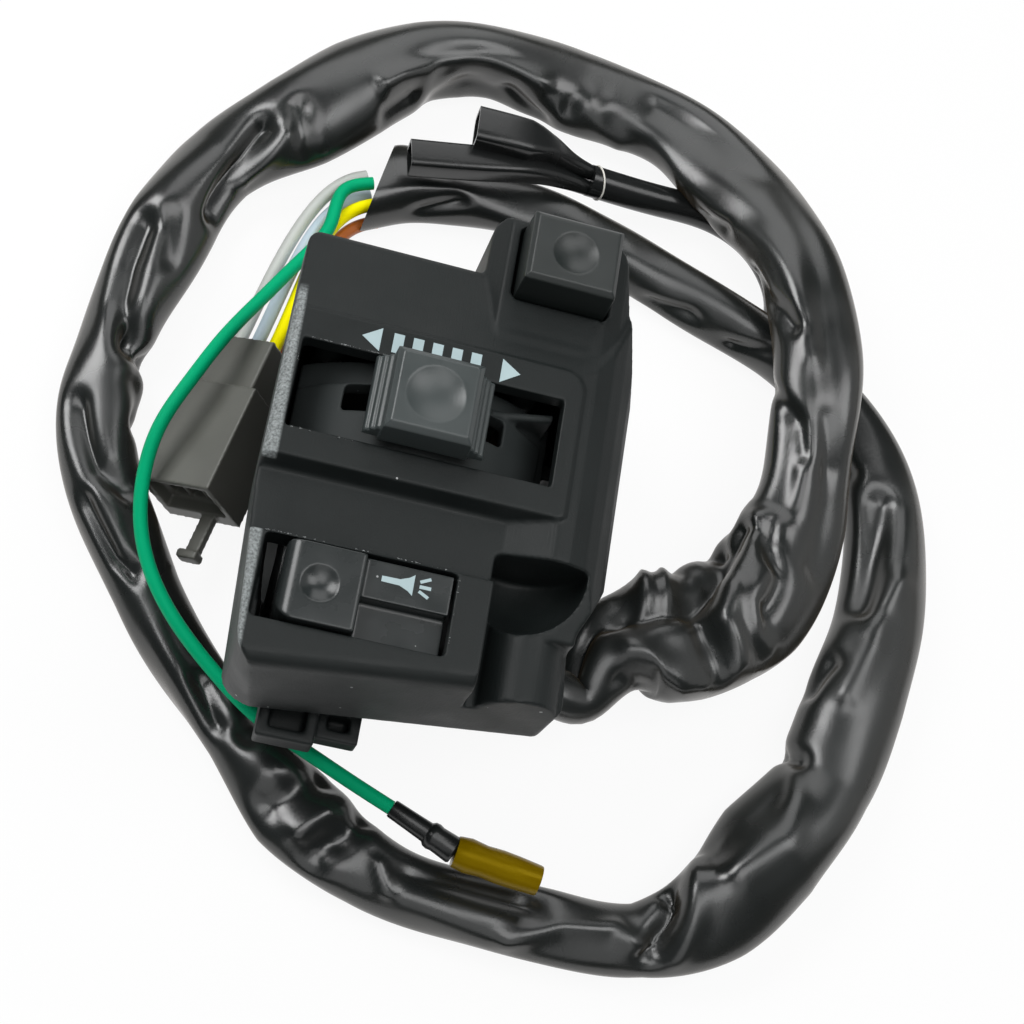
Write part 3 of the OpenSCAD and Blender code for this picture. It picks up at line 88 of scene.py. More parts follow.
def smooth_path(points, count):
    """Natural cubic spline through the points at count even steps of arc length, with its place in the list.

    The spline runs over chord length. The place is 0 at the first point, 1 at the second and so on.
    """
    p = np.asarray(points, float)
    n = len(p)
    t = np.concatenate([[0], np.cumsum(np.linalg.norm(np.diff(p, axis=0), axis=1))])
    h = np.diff(t)
    i = np.arange(1, n - 1)
    lhs = np.eye(n)
    lhs[i, i - 1] = h[:-1]
    lhs[i, i] = 2 * (h[:-1] + h[1:])
    lhs[i, i + 1] = h[1:]
    rhs = np.zeros((n, 3))
    rhs[i] = 6 * ((p[2:] - p[1:-1]) / h[1:, None] - (p[1:-1] - p[:-2]) / h[:-1, None])
    m = np.linalg.solve(lhs, rhs)

    def at(x):
        k = np.clip(np.searchsorted(t, x, side="right") - 1, 0, n - 2)
        a, b, w = (t[k + 1] - x)[:, None], (x - t[k])[:, None], h[k][:, None]
        bend = (m[k] * a ** 3 + m[k + 1] * b ** 3) / (6 * w)
        return bend + (p[k] / w - m[k] * w / 6) * a + (p[k + 1] / w - m[k + 1] * w / 6) * b

    x = np.linspace(0, t[-1], 12 * count)
    fine = at(x)
    s = np.concatenate([[0], np.cumsum(np.linalg.norm(np.diff(fine, axis=0), axis=1))])
    even = np.interp(np.linspace(0, s[-1], count), s, x)
    return at(even), np.interp(even, t, np.arange(n))


def path_length(path):
    """Length along a row of points."""
    return float(np.linalg.norm(np.diff(path, axis=0), axis=1).sum())


def axes_along(path):
    """Tangent, level side and upward direction at each point of a path."""
    tangent = unit(np.gradient(path, axis=0))
    side = unit(np.cross(tangent, [0.0, 0.0, 1.0]))
    return tangent, side, np.cross(side, tangent)


def mesh_object(name, verts, faces, material, sharp=40):
    """Object at the origin from points in millimetres, shaded smooth except past the sharp angle."""
    mesh = bpy.data.meshes.new(name)
    mesh.from_pydata((np.asarray(verts) * MM).tolist(), [], faces)
    mesh.polygons.foreach_set("use_smooth", np.ones(len(mesh.polygons), bool))
    mesh.set_sharp_from_angle(angle=math.radians(sharp))
    mesh.materials.append(material)
    mesh.update()
    obj = bpy.data.objects.new(name, mesh)
    bpy.context.scene.collection.objects.link(obj)
    return obj


def skin(name, rings, material, sharp=40):
    """Closed skin over a grid of rings, with rows along the piece, columns round it and both ends filled."""
    rows, cols = rings.shape[:2]
    a = np.arange(rows * cols).reshape(rows, cols)
    b = np.roll(a, -1, axis=1)
    quads = np.stack([a[:-1], a[1:], b[1:], b[:-1]], axis=-1).reshape(-1, 4)
    faces = quads.tolist() + [a[0].tolist(), a[-1][::-1].tolist()]
    return mesh_object(name, rings.reshape(-1, 3), faces, material, sharp)


def rings_along(path, half_side, half_up, cols, box=2.0):
    """Rings carried along a path on its side and up directions, with the given half sizes.

    Each ring is |x / half_side|^box + |z / half_up|^box = 1, which is an ellipse for box 2 and nearer a
    rectangle above it.
    """
    _, side, up = axes_along(path)
    angle = np.linspace(0, 2 * np.pi, cols, endpoint=False)
    across = (np.sign(np.cos(angle)) * np.abs(np.cos(angle)) ** (2 / box))[None, :, None]
    above = (np.sign(np.sin(angle)) * np.abs(np.sin(angle)) ** (2 / box))[None, :, None]
    half_side = np.broadcast_to(half_side, len(path))[:, None, None]
    half_up = np.broadcast_to(half_up, len(path))[:, None, None]
    return path[:, None] + side[:, None] * half_side * across + up[:, None] * half_up * above


def turned(name, start, end, profile, material, cols=40, sharp=35):
    """Profile of (distance, radius) rows turned about the straight line from start to end."""
    start, end = np.asarray(start, float), np.asarray(end, float)
    axis = unit(end - start)
    side = unit(np.cross(axis, [0.0, 0.0, 1.0]))
    up = np.cross(side, axis)
    profile = np.asarray(profile, float)
    angle = np.linspace(0, 2 * np.pi, cols, endpoint=False)[None, :, None]
    ring = side * np.cos(angle) + up * np.sin(angle)
    rows = start + axis * profile[:, :1]
    return skin(name, rows[:, None] + ring * profile[:, 1][:, None, None], material, sharp)


def waves(s, angle, count, turns, lengths):
    """Sum of cosines over the length s and the angle round a tube, with unit spread.

    Each cosine has a whole number of turns round the tube, a wavelength along it and a random phase.
    """
    k = rng.integers(turns[0], turns[1] + 1, count)[:, None, None]
    w = 2 * np.pi / rng.uniform(*lengths, count)[:, None, None]
    sign = rng.choice([-1, 1], count)[:, None, None]
    phase = rng.uniform(0, 2 * np.pi, count)[:, None, None]
    return np.cos(k * angle[None] + sign * w * s[None] + phase).sum(0) * np.sqrt(2 / count)


def line_distance(s, arc, points):
    """Distance on an unrolled skin from each place (s, arc) to a line of straight pieces through points."""
    p = np.asarray(points, float)
    a, b = (p, p) if len(p) == 1 else (p[:-1], p[1:])
    d = b - a
    from_s, from_arc = s[..., None] - a[:, 0], arc[..., None] - a[:, 1]
    along = (from_s * d[:, 0] + from_arc * d[:, 1]) / np.maximum((d ** 2).sum(1), 1e-9)
    along = np.clip(along, 0, 1)
    return np.hypot(from_s - along * d[:, 0], from_arc - along * d[:, 1]).min(-1)


# Materials

# The second colour is a painted highlight, a light grey laid on the left-hand rails of the case.
DUST, RAIL_HIGHLIGHT, SHEEN = (0.32, 0.33, 0.33), (0.30, 0.325, 0.325), (0.55, 0.36, 0.16)
# Where the painted highlight on the rails of the case begins and is full, across it and upwards in
# millimetres, how far its edge leans for each millimetre along the case, and the range of the noise that
# makes it sparkle
RAIL_EDGE, RAIL_FOOT = (-18.75, -19.2), (32.9, 33.4)
RAIL_SLANT, RAIL_SPARK = 0.0276, (0.12, 0.74)


def new_group(name, inputs, outputs):
    """Shader node group with named sockets; returns it with its input and output nodes."""
    group = bpy.data.node_groups.new(name, "ShaderNodeTree")
    for label, kind, value in inputs:
        socket = group.interface.new_socket(label, in_out="INPUT", socket_type=kind)
        if value is not None:
            socket.default_value = value
    for label, kind in outputs:
        group.interface.new_socket(label, in_out="OUTPUT", socket_type=kind)
    return group, group.nodes.new("NodeGroupInput"), group.nodes.new("NodeGroupOutput")


def node(tree, kind, links=None, **values):
    """New node in a tree: links go to its named inputs, values are set on its inputs or on itself."""
    made = tree.nodes.new(kind)
    for key, value in values.items():
        if hasattr(made, key):
            setattr(made, key, value)
        else:
            made.inputs[key.replace("_", " ")].default_value = value
    for key, source in (links or {}).items():
        tree.links.new(source, made.inputs[key])
    return made


def moulded_group():
    """Fine grain, drawn streaks, broad mottle and scattered dust of a moulded plastic face."""
    tree, given, out = new_group(
        "Moulded plastic",
        [("Vector", "NodeSocketVector", None), ("Grain", "NodeSocketFloat", 0.5),
         ("Streak", "NodeSocketFloat", 0.5), ("Dust", "NodeSocketFloat", 0.5)],
        [("Height", "NodeSocketFloat"), ("Mottle", "NodeSocketFloat"), ("Dust Mask", "NodeSocketFloat")])
    grain = node(tree, "ShaderNodeTexNoise", {"Vector": given.outputs["Vector"]},
                 Scale=3200.0, Detail=3.0, Roughness=0.6)
    stretch = node(tree, "ShaderNodeVectorMath", {0: given.outputs["Vector"]}, operation="MULTIPLY")
    stretch.inputs[1].default_value = (3600, 130, 900)
    streak = node(tree, "ShaderNodeTexNoise", {"Vector": stretch.outputs[0]}, Scale=1.0, Detail=2.0)
    mottle = node(tree, "ShaderNodeTexNoise", {"Vector": given.outputs["Vector"]}, Scale=140.0, Detail=4.0)
    cells = node(tree, "ShaderNodeTexVoronoi", {"Vector": given.outputs["Vector"]}, Scale=420.0)
    pick = node(tree, "ShaderNodeSeparateColor", {"Color": cells.outputs["Color"]})
    size = node(tree, "ShaderNodeMapRange", {"Value": pick.outputs[0]})
    size.inputs["From Min"].default_value = 0.88
    size.inputs["To Max"].default_value = 0.17
    size_cut = node(tree, "ShaderNodeMath", {0: size.outputs[0], 1: given.outputs["Dust"]},
                    operation="MULTIPLY")
    speck = node(tree, "ShaderNodeMath", {0: cells.outputs["Distance"], 1: size_cut.outputs[0]},
                 operation="LESS_THAN")
    grain_up = node(tree, "ShaderNodeMath", {0: grain.outputs["Fac"], 1: given.outputs["Grain"]},
                    operation="MULTIPLY")
    height = node(tree, "ShaderNodeMath",
                  {0: streak.outputs["Fac"], 1: given.outputs["Streak"], 2: grain_up.outputs[0]},
                  operation="MULTIPLY_ADD")
    tree.links.new(height.outputs[0], out.inputs["Height"])
    tree.links.new(mottle.outputs["Fac"], out.inputs["Mottle"])
    tree.links.new(speck.outputs[0], out.inputs["Dust Mask"])
    return tree


def vinyl_group():
    """Soft waves, fine scuffs and broad haze of a soft vinyl skin."""
    tree, given, out = new_group(
        "Soft vinyl",
        [("Vector", "NodeSocketVector", None), ("Waves", "NodeSocketFloat", 0.5),
         ("Scuffs", "NodeSocketFloat", 0.3)],
        [("Height", "NodeSocketFloat"), ("Haze", "NodeSocketFloat")])
    wave = node(tree, "ShaderNodeTexNoise", {"Vector": given.outputs["Vector"]},
                Scale=260.0, Detail=2.0, Distortion=0.4)
    scuff = node(tree, "ShaderNodeTexNoise", {"Vector": given.outputs["Vector"]}, Scale=2600.0, Detail=3.0)
    haze = node(tree, "ShaderNodeTexNoise", {"Vector": given.outputs["Vector"]}, Scale=70.0, Detail=3.0)
    scuff_up = node(tree, "ShaderNodeMath", {0: scuff.outputs["Fac"], 1: given.outputs["Scuffs"]},
                    operation="MULTIPLY")
    height = node(tree, "ShaderNodeMath",
                  {0: wave.outputs["Fac"], 1: given.outputs["Waves"], 2: scuff_up.outputs[0]},
                  operation="MULTIPLY_ADD")
    tree.links.new(height.outputs[0], out.inputs["Height"])
    tree.links.new(haze.outputs["Fac"], out.inputs["Haze"])
    return tree


def limited(tree, value, start, end):
    """Value that goes from 0 at start to 1 at end and stays there."""
    span = node(tree, "ShaderNodeMapRange", {"Value": value})
    span.inputs["From Min"].default_value = start
    span.inputs["From Max"].default_value = end
    return span.outputs[0]


def rail_highlight_group():
    """Painted highlight, broken up by a sparkling grain, on the left-hand rails of the case, high up and left
    of a slanted line.
    """
    tree, given, out = new_group("Painted rail highlight", [("Vector", "NodeSocketVector", None)],
                                 [("Mask", "NodeSocketFloat")])
    place = node(tree, "ShaderNodeSeparateXYZ", {"Vector": given.outputs["Vector"]})
    slant = node(tree, "ShaderNodeMath", {0: place.outputs["Y"], 2: place.outputs["X"]},
                 operation="MULTIPLY_ADD")
    slant.inputs[1].default_value = RAIL_SLANT
    left = limited(tree, slant.outputs[0], RAIL_EDGE[0] * MM, RAIL_EDGE[1] * MM)
    high = limited(tree, place.outputs["Z"], RAIL_FOOT[0] * MM, RAIL_FOOT[1] * MM)
    grain = node(tree, "ShaderNodeTexNoise", {"Vector": given.outputs["Vector"]}, Scale=2800.0, Detail=2.0)
    spark = limited(tree, grain.outputs["Fac"], *RAIL_SPARK)
    rail = node(tree, "ShaderNodeMath", {0: left, 1: high}, operation="MULTIPLY")
    mask = node(tree, "ShaderNodeMath", {0: rail.outputs[0], 1: spark}, operation="MULTIPLY")
    tree.links.new(mask.outputs[0], out.inputs["Mask"])
    return tree


MOULDED = moulded_group()
VINYL = vinyl_group()
RAIL = rail_highlight_group()


def blank(name):
    """New node material; returns it with its tree, shader and object coordinates."""
    mat = bpy.data.materials.new(name)
    mat.use_nodes = True
    tree = mat.node_tree
    return mat, tree, tree.nodes["Principled BSDF"], node(tree, "ShaderNodeTexCoord").outputs["Object"]


def blend(tree, mask, low, high):
    """Colour that goes from low to high with a mask; either end may be a colour or a socket."""
    mix = node(tree, "ShaderNodeMix", {"Factor": mask}, data_type="RGBA")
    for socket, value in ((mix.inputs["A"], low), (mix.inputs["B"], high)):
        if isinstance(value, tuple):
            socket.default_value = (*value, 1)
        else:
            tree.links.new(value, socket)
    return mix.outputs["Result"]


def ranged(tree, value, low, high):
    """Value from 0.3 to 0.7 spread over low to high."""
    span = node(tree, "ShaderNodeMapRange", {"Value": value})
    span.inputs["From Min"].default_value = 0.3
    span.inputs["From Max"].default_value = 0.7
    span.inputs["To Min"].default_value = low
    span.inputs["To Max"].default_value = high
    return span.outputs[0]


def bumped(tree, bsdf, height, strength, distance):
    """Bump of the given height in millimetres into the shader's normal."""
    bump = node(tree, "ShaderNodeBump", {"Height": height}, Strength=strength, Distance=distance * MM)
    tree.links.new(bump.outputs[0], bsdf.inputs["Normal"])


def plastic(name, dark, light, rough, grain=0.6, streak=0.5, dust=0.6, bump=0.35, shine=0.5,
            rails=False):
    """Moulded plastic: mottled colour, drawn grain, a few specks of dust and, if asked for, a painted
    highlight on the rails.
    """
    mat, tree, bsdf, place = blank(name)
    cover = node(tree, "ShaderNodeGroup", node_tree=MOULDED)
    tree.links.new(place, cover.inputs["Vector"])
    cover.inputs["Grain"].default_value = grain
    cover.inputs["Streak"].default_value = streak
    cover.inputs["Dust"].default_value = dust
    body = blend(tree, cover.outputs["Mottle"], dark, light)
    face = blend(tree, cover.outputs["Dust Mask"], body, DUST)
    # Painted highlight: a light grey with a sparkling grain on the left-hand rails.
    if rails:
        painted_highlight = node(tree, "ShaderNodeGroup", node_tree=RAIL)
        tree.links.new(place, painted_highlight.inputs["Vector"])
        face = blend(tree, painted_highlight.outputs["Mask"], face, RAIL_HIGHLIGHT)
    tree.links.new(face, bsdf.inputs["Base Color"])
    gloss = ranged(tree, cover.outputs["Mottle"], rough - 0.05, rough + 0.07)
    tree.links.new(gloss, bsdf.inputs["Roughness"])
    bumped(tree, bsdf, cover.outputs["Height"], bump, 0.06)
    bsdf.inputs["Specular IOR Level"].default_value = shine
    return mat


def vinyl(name, dark, light, rough, waves_up=0.5, scuffs=0.3, bump=0.4, sheen=0.0, through=0.0, shine=0.5,
          tint=(1, 1, 1)):
    """Soft vinyl: hazy gloss with shallow waves and fine scuffs, and a share of light that passes through.

    shine is the strength of its reflections, and tint their colour.
    """
    mat, tree, bsdf, place = blank(name)
    cover = node(tree, "ShaderNodeGroup", node_tree=VINYL)
    tree.links.new(place, cover.inputs["Vector"])
    cover.inputs["Waves"].default_value = waves_up
    cover.inputs["Scuffs"].default_value = scuffs
    tree.links.new(blend(tree, cover.outputs["Haze"], dark, light), bsdf.inputs["Base Color"])
    tree.links.new(ranged(tree, cover.outputs["Haze"], rough - 0.06, rough + 0.08), bsdf.inputs["Roughness"])
    bumped(tree, bsdf, cover.outputs["Height"], bump, 0.12)
    bsdf.inputs["Sheen Weight"].default_value = sheen
    bsdf.inputs["Sheen Tint"].default_value = (*SHEEN, 1)
    bsdf.inputs["Transmission Weight"].default_value = through
    bsdf.inputs["Specular IOR Level"].default_value = shine
    bsdf.inputs["Specular Tint"].default_value = (*tint, 1)
    return mat


def metal(name, dark, light, rough):
    """Plated metal with a mottled tarnish."""
    mat, tree, bsdf, place = blank(name)
    cover = node(tree, "ShaderNodeGroup", node_tree=MOULDED)
    tree.links.new(place, cover.inputs["Vector"])
    cover.inputs["Dust"].default_value = 0.2
    tree.links.new(blend(tree, cover.outputs["Mottle"], dark, light), bsdf.inputs["Base Color"])
    tree.links.new(ranged(tree, cover.outputs["Mottle"], rough - 0.06, rough + 0.1), bsdf.inputs["Roughness"])
    bumped(tree, bsdf, cover.outputs["Height"], 0.15, 0.03)
    bsdf.inputs["Metallic"].default_value = 1.0
    return mat


# The case gets the painted highlight on its left-hand rails.
CASE = plastic("case plastic", (0.0066, 0.0088, 0.0087), (0.0104, 0.0133, 0.0131), 0.46, bump=0.7,
               shine=0.25, rails=True)
REAR = plastic("rear plastic", (0.012, 0.014, 0.014), (0.018, 0.020, 0.020), 0.46)
KNOB = plastic("knob plastic", (0.035, 0.043, 0.043), (0.047, 0.057, 0.057), 0.34, streak=0.2, dust=0.4,
               bump=0.2)
DIP = plastic("dip plastic", (0.012, 0.0155, 0.0148), (0.018, 0.0225, 0.0215), 0.38, streak=0.2, dust=0.4,
              bump=0.2)
HORN = plastic("horn plastic", (0.016, 0.0195, 0.0195), (0.023, 0.027, 0.027), 0.27, grain=0.25, streak=0.15,
               dust=0.5, bump=0.2)
# Painted light: the shield is a lighter grey than its own near-black, so that the slot floor, which lies in
# shade, reads as lit.
SHIELD_PAINTED_LIGHT = plastic("shield plastic with painted light", (0.022, 0.026, 0.026), (0.034, 0.039, 0.039), 0.6, grain=0.3, dust=0.5,
                 bump=0.3, shine=0.2)
BOARD = plastic("base board", (0.09, 0.05, 0.024), (0.14, 0.08, 0.04), 0.55)
NYLON = plastic("white nylon", (0.72, 0.70, 0.64), (0.80, 0.78, 0.73), 0.4, dust=0.0)
CONNECTOR = plastic("connector nylon", (0.090, 0.091, 0.080), (0.122, 0.123, 0.109), 0.42, streak=0.2,
                    dust=0.3, bump=0.2)
SHEATH = vinyl("sheath vinyl", (0.0075, 0.0096, 0.0096), (0.0120, 0.0148, 0.0148), 0.26, waves_up=0.2,
               sheen=0.1, shine=0.8)
SLEEVE = vinyl("sleeve vinyl", (0.006, 0.007, 0.007), (0.010, 0.011, 0.011), 0.24)
GREEN_SKIN = vinyl("green vinyl", (0.0, 0.31, 0.132), (0.0, 0.41, 0.18), 0.55, bump=0.1, shine=0.25,
                   tint=(0.2, 1, 0.75))
GREY_SKIN = vinyl("grey vinyl", (0.42, 0.44, 0.42), (0.55, 0.57, 0.54), 0.36, bump=0.1)
BLUE_SKIN = vinyl("blue vinyl", (0.40, 0.50, 0.58), (0.54, 0.64, 0.72), 0.36, bump=0.1)
YELLOW_SKIN = vinyl("yellow vinyl", (0.90, 0.79, 0.0), (0.97, 0.88, 0.001), 0.5, bump=0.1, shine=0.25,
                    tint=(1, 0.95, 0.1))
ORANGE_SKIN = vinyl("orange vinyl", (0.40, 0.10, 0.016), (0.55, 0.16, 0.03), 0.36, bump=0.1)
AMBER_SKIN = vinyl("amber vinyl", (0.15, 0.088, 0.0), (0.26, 0.17, 0.0), 0.26, bump=0.25, through=0.15,
                   shine=0.35, tint=(1, 0.75, 0.05))
BRASS = metal("brass", (0.55, 0.38, 0.15), (0.72, 0.52, 0.24), 0.3)
STEEL = metal("plated steel", (0.42, 0.42, 0.41), (0.58, 0.58, 0.57), 0.32)
MARK = plastic("printed mark", (0.31, 0.41, 0.43), (0.43, 0.54, 0.56), 0.55, streak=0.4, dust=0.0, bump=0.1)
FLASH = plastic("moulding burr", (0.10, 0.11, 0.11), (0.42, 0.44, 0.44), 0.5, dust=0.0)

CAD_SKINS = {
    "rear_case": REAR, "case_screws": STEEL, "base_screws": STEEL, "cable_grommet": SLEEVE,
    "turn_lever": KNOB, "turn_bridge": BRASS, "turn_pivot_pin": STEEL, "turn_base": BOARD,
    "turn_contacts": BRASS, "detent_leaf": STEEL, "horn_pivot_pin": STEEL, "horn_spring": STEEL,
    "horn_base": BOARD, "horn_leaf": BRASS, "horn_stud": BRASS, "dip_plunger": NYLON, "dip_bridge": BRASS,
    "dip_spring": STEEL, "dip_base": BOARD, "dip_contacts": BRASS, "connector_terminals": BRASS,
    "branch_terminals": BRASS}
for name, material in CAD_SKINS.items():
    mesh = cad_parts[name].data
    mesh.materials.clear()
    mesh.materials.append(material)


# Moulded pieces: the CAD solid with its edges rounded off

def moulded(name, material, body, voxel, rounds, keep=1.0):
    """Copy of a CAD solid, remeshed in voxels and smoothed, which rounds every edge by about two voxels.

    voxel is in millimetres, rounds counts the smoothing passes, and keep is the share of faces that stay.
    """
    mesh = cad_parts[name].data.copy()
    mesh.name = name + "_moulded"
    work = bmesh.new()
    work.from_mesh(mesh)
    bmesh.ops.remove_doubles(work, verts=work.verts, dist=1e-6)
    work.to_mesh(mesh)
    work.free()
    mesh.materials.clear()
    mesh.materials.append(material)
    rough = bpy.data.objects.new(name + "_rough", mesh)
    bpy.context.scene.collection.objects.link(rough)
    remesh = rough.modifiers.new("round", "REMESH")
    remesh.mode = "VOXEL"
    remesh.voxel_size = voxel * MM
    smooth = rough.modifiers.new("soften", "SMOOTH")
    smooth.factor = 0.5
    smooth.iterations = rounds
    if keep < 1:
        rough.modifiers.new("thin", "DECIMATE").ratio = keep
    ready = bpy.data.meshes.new_from_object(rough.evaluated_get(bpy.context.evaluated_depsgraph_get()))
    bpy.data.objects.remove(rough)
    ready.polygons.foreach_set("use_smooth", np.ones(len(ready.polygons), bool))
    ready.name = name + "_skin"
    obj = bpy.data.objects.new(name + "_skin", ready)
    bpy.context.scene.collection.objects.link(obj)
    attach(obj, body)
    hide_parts(name)
    return obj


moulded("front_case", CASE, "case", 0.32, 2, 0.3)
moulded("turn_knob", KNOB, "turn_lever", 0.16, 3, 0.6)
moulded("turn_frame", SHIELD_PAINTED_LIGHT, "case", 0.3, 2)
moulded("horn_button", HORN, "horn_button", 0.2, 3, 0.7)
moulded("dip_button", DIP, "dip_button", 0.18, 3, 0.6)
connector = moulded("wire_connector", CONNECTOR, "case", 0.25, 2, 0.7)


# Harness

SHEATH_ROWS, SHEATH_COLS = 740, 96
# Rows of the lip at the open end, and its size as a share of the outside
LIP_ROWS, LIP_IN = 14, 0.84
# The open end is cut aslant by this many millimetres along for each one across, over its last millimetres.
END_SLANT, END_REACH = 0.8, 14
FLOOR_GAP = 0.02
# Factor on the half widths of the folds
SPREAD = 1.15
# Millimetres of unrolled skin for each radian round the sheath, and the widest that it gets
ARC_R, WIDEST = 6.5, 11.2
# Height of the slow waves in millimetres, at places counted in points of the route
WAVE_AT, WAVE = [0, 3, 45, 48], [0.05, 0.35, 0.3, 0.2]
# Half widths of the sheath beyond its mean width, on its outer and inner side, at places counted in points of
# its route, and how far its middle line lies to the inner side of the route
OUTER_AT = [1, 2.6, 3.2, 4, 5, 6, 7, 8, 9, 10, 12, 12.6, 13.2, 14, 15, 16, 17, 18, 19, 20, 22, 23.4, 24, 25,
            26, 27, 28.5, 29, 31, 35, 36.5, 38, 40, 42.5, 44, 45.5, 46.6, 47.2, 48]
OUTER_MORE = [-0.8, -1.4, 1.2, 2.6, 3.6, 2.4, 1, 0.6, 0.8, 0.6, 0.8, 0.5, -1, -1.7, -0.9, -1.8, -1.5, -1.3,
              -1.7, 0.1, -0.2, 0.4, -0.6, -0.2, -1.2, -1.6, -0.9, 0.1, 0.4, 0.5, -0.4, 0.1, -0.6, -0.8, 0.7,
              0.8, 1.2, 4.6, 2.6]
INNER_AT = [2, 3, 4, 5, 6, 7, 7.6, 9, 11, 11.7, 12.3, 13.1, 13.8, 14.5, 15.1, 15.7, 16.3, 17, 17.6, 18.2, 19,
            20.3, 21.5, 22.5, 23.3, 24, 26, 28, 29, 30.5, 32, 34, 34.6, 36, 37, 38, 42, 43.2, 44.5, 46, 48]
INNER_MORE = [0, 1, 1.4, 1.8, 1.8, 2.2, -0.4, 0.4, 0, 0.4, 3.8, 3.8, 0.4, 1.2, 3.4, 0.6, -3.2, -1.8, 0, 1.2,
              1.1, -0.8, 0.2, -1.2, 1.2, 1.2, 1, 0.8, 0.6, -0.9, 0.4, 0.6, 2.2, 0.8, 0.7, 0, -0.2, -1.2, -0.6,
              -1.2, -1]
INNER_SHIFT_AT, INNER_SHIFT = [2, 3.5, 5.5, 7.5], [0, 1.8, 1.8, 0]
# Dents and ridges of the soft sheath. Each has the places it runs through, as (length along the sheath in
# millimetres, angle round it in degrees: 0 outer side, 90 top, 180 inner side), then half width and depth in
# millimetres, where a depth below 0 is a ridge, then power, where a lower one is a sharper crease and a
# higher one a flatter hollow.
FOLDS = [
    # Outlet
    ([(10, 155), (18, 150), (22, 117), (28, 114), (40, 150), (47, 180)], 2.4, 3.0, 1.8),
    ([(18, 81), (21, 56), (27, 26), (32, 42)], 1.5, -1.3, 2),
    ([(25.5, 172), (22.6, 126)], 0.9, -0.9, 2),
    ([(30, 172), (26, 120)], 0.9, -0.8, 2),
    ([(21.5, 168), (19.5, 130)], 1.6, 1.2, 2),
    ([(34, 172), (30.5, 128)], 2.0, 1.4, 2),
    ([(48, 172), (56, 185)], 2.0, 1.2, 2),
    ([(14, 60), (16, 20)], 1.6, 0.9, 2),
    ([(24, 70), (30, 62)], 1.8, 1.0, 2),
    # Lip of the first bend, and the folds that run up the right-hand side
    ([(58.4, 124), (40.5, 120), (34, 90), (34, 42), (36, 5)], 1.8, -1.5, 2),
    ([(54, 142), (37.5, 134), (30.4, 96), (30.4, 42)], 1.8, 2.4, 1.8),
    ([(47, 90), (41.5, 90), (38, 66), (39.6, 42)], 1.2, -0.8, 2),
    ([(58.5, 118), (52, 108), (47, 84), (41.5, 74)], 1.0, 1.5, 1.8),
    ([(78, 90), (66, 62), (54, 54)], 2.0, 0.9, 2),
    ([(77, 147), (69, 130), (61, 120)], 1.8, 1.0, 2),
    ([(84, 192), (77, 128), (72, 114)], 1.3, 0.8, 2),
    ([(109, 200), (101, 183), (97, 150), (94, 135)], 1.5, 1.2, 2),
    ([(150, 106), (132, 106), (122, 86), (108, 88), (90, 90), (71, 62)], 2.2, 0.8, 2),
    ([(159, 126), (136, 160), (117, 158), (100, 122), (88, 111)], 1.7, -0.6, 2),
    ([(127, 196), (120, 178)], 1.6, 1.0, 2),
    # Top
    ([(166.8, 144)], 1.3, 0.8, 2),
    ([(163, 132), (158, 159), (153.6, 177)], 1.9, -0.8, 2),
    ([(190, 141), (185, 135), (174, 132)], 1.4, -0.6, 2),
    ([(178, 165), (171.5, 187)], 1.8, 1.6, 2),
    ([(193, 192), (187, 178), (181, 192)], 3.0, 1.8, 2),
    ([(206, 123), (201.6, 121), (196, 136)], 1.3, -0.6, 2),
    ([(206, 118), (196, 124), (184, 122), (172, 124)], 1.0, -0.7, 2),
    ([(207, 156), (200, 156)], 1.6, 1.2, 2),
    ([(221, 100), (224, 150)], 1.5, 0.9, 2),
    ([(228, 99), (234, 120), (239.5, 135), (246, 152)], 1.7, 2.6, 1.8),
    ([(225.5, 116), (231, 136), (237, 154)], 1.1, -0.8, 2),
    # Left
    ([(251.6, 93), (259, 120)], 1.4, 0.5, 2),
    ([(255, 63), (262, 66), (268, 80), (274.5, 116)], 2.3, 2.3, 2),
    ([(274, 120), (276, 150), (276, 190)], 2.1, 2.4, 1.8),
    ([(281, 140), (285, 160)], 2.4, 1.2, 2),
    ([(287, 57), (297, 84), (301, 125)], 1.9, 1.7, 2),
    ([(288.5, 160), (290, 190)], 2.0, 1.5, 2),
    ([(301.5, 48), (311, 66), (314, 90)], 1.6, 1.3, 2),
    ([(335, 95), (341, 70)], 2.0, 1.5, 2),
    ([(345.5, 98), (345, 130), (346, 175)], 1.8, 1.7, 1.8),
    # Bottom
    ([(356, 50), (357, 111), (358, 150)], 2.2, 2.0, 2),
    ([(364.6, 42), (366.5, 118), (367, 150)], 1.9, 1.7, 2),
    ([(361, 60), (362, 110)], 1.0, -0.6, 2),
    ([(379, 104), (388, 108), (396, 118)], 3.2, 1.7, 2),
    ([(373, 95), (376, 60)], 1.2, -0.6, 2),
    ([(395, 48), (402, 87), (411, 105), (415.5, 75)], 1.6, -0.8, 2),
    ([(423, 150), (422.3, 130), (419, 96), (417, 62)], 1.6, 2.8, 1.8),
    ([(419.4, 51), (424.4, 96), (431, 160)], 1.6, -0.8, 2),
    ([(434, 150), (443, 148), (454, 156)], 3.4, 1.7, 2.4),
    ([(456, 150), (449, 116), (443, 96), (434, 105)], 1.5, -0.7, 2),
    ([(457, 150), (458, 192)], 1.6, 1.9, 1.8),
    # Second lap on the right
    ([(475.8, 153), (471, 172)], 1.7, 1.7, 2),
    ([(507, 112), (496, 130), (488, 136)], 2.6, 2.0, 2.4),
    ([(493, 92), (487, 109), (480.5, 107), (471, 116)], 1.5, -0.8, 2),
    ([(515, 150), (522, 170)], 1.8, 1.0, 2),
    ([(545, 130), (551, 165)], 1.6, 1.0, 2),
    ([(560, 150), (566, 180)], 1.8, 1.2, 2),
    ([(578, 100), (588, 130)], 1.8, 0.8, 2),
    ([(606, 125), (611, 160)], 1.6, 1.0, 2)]


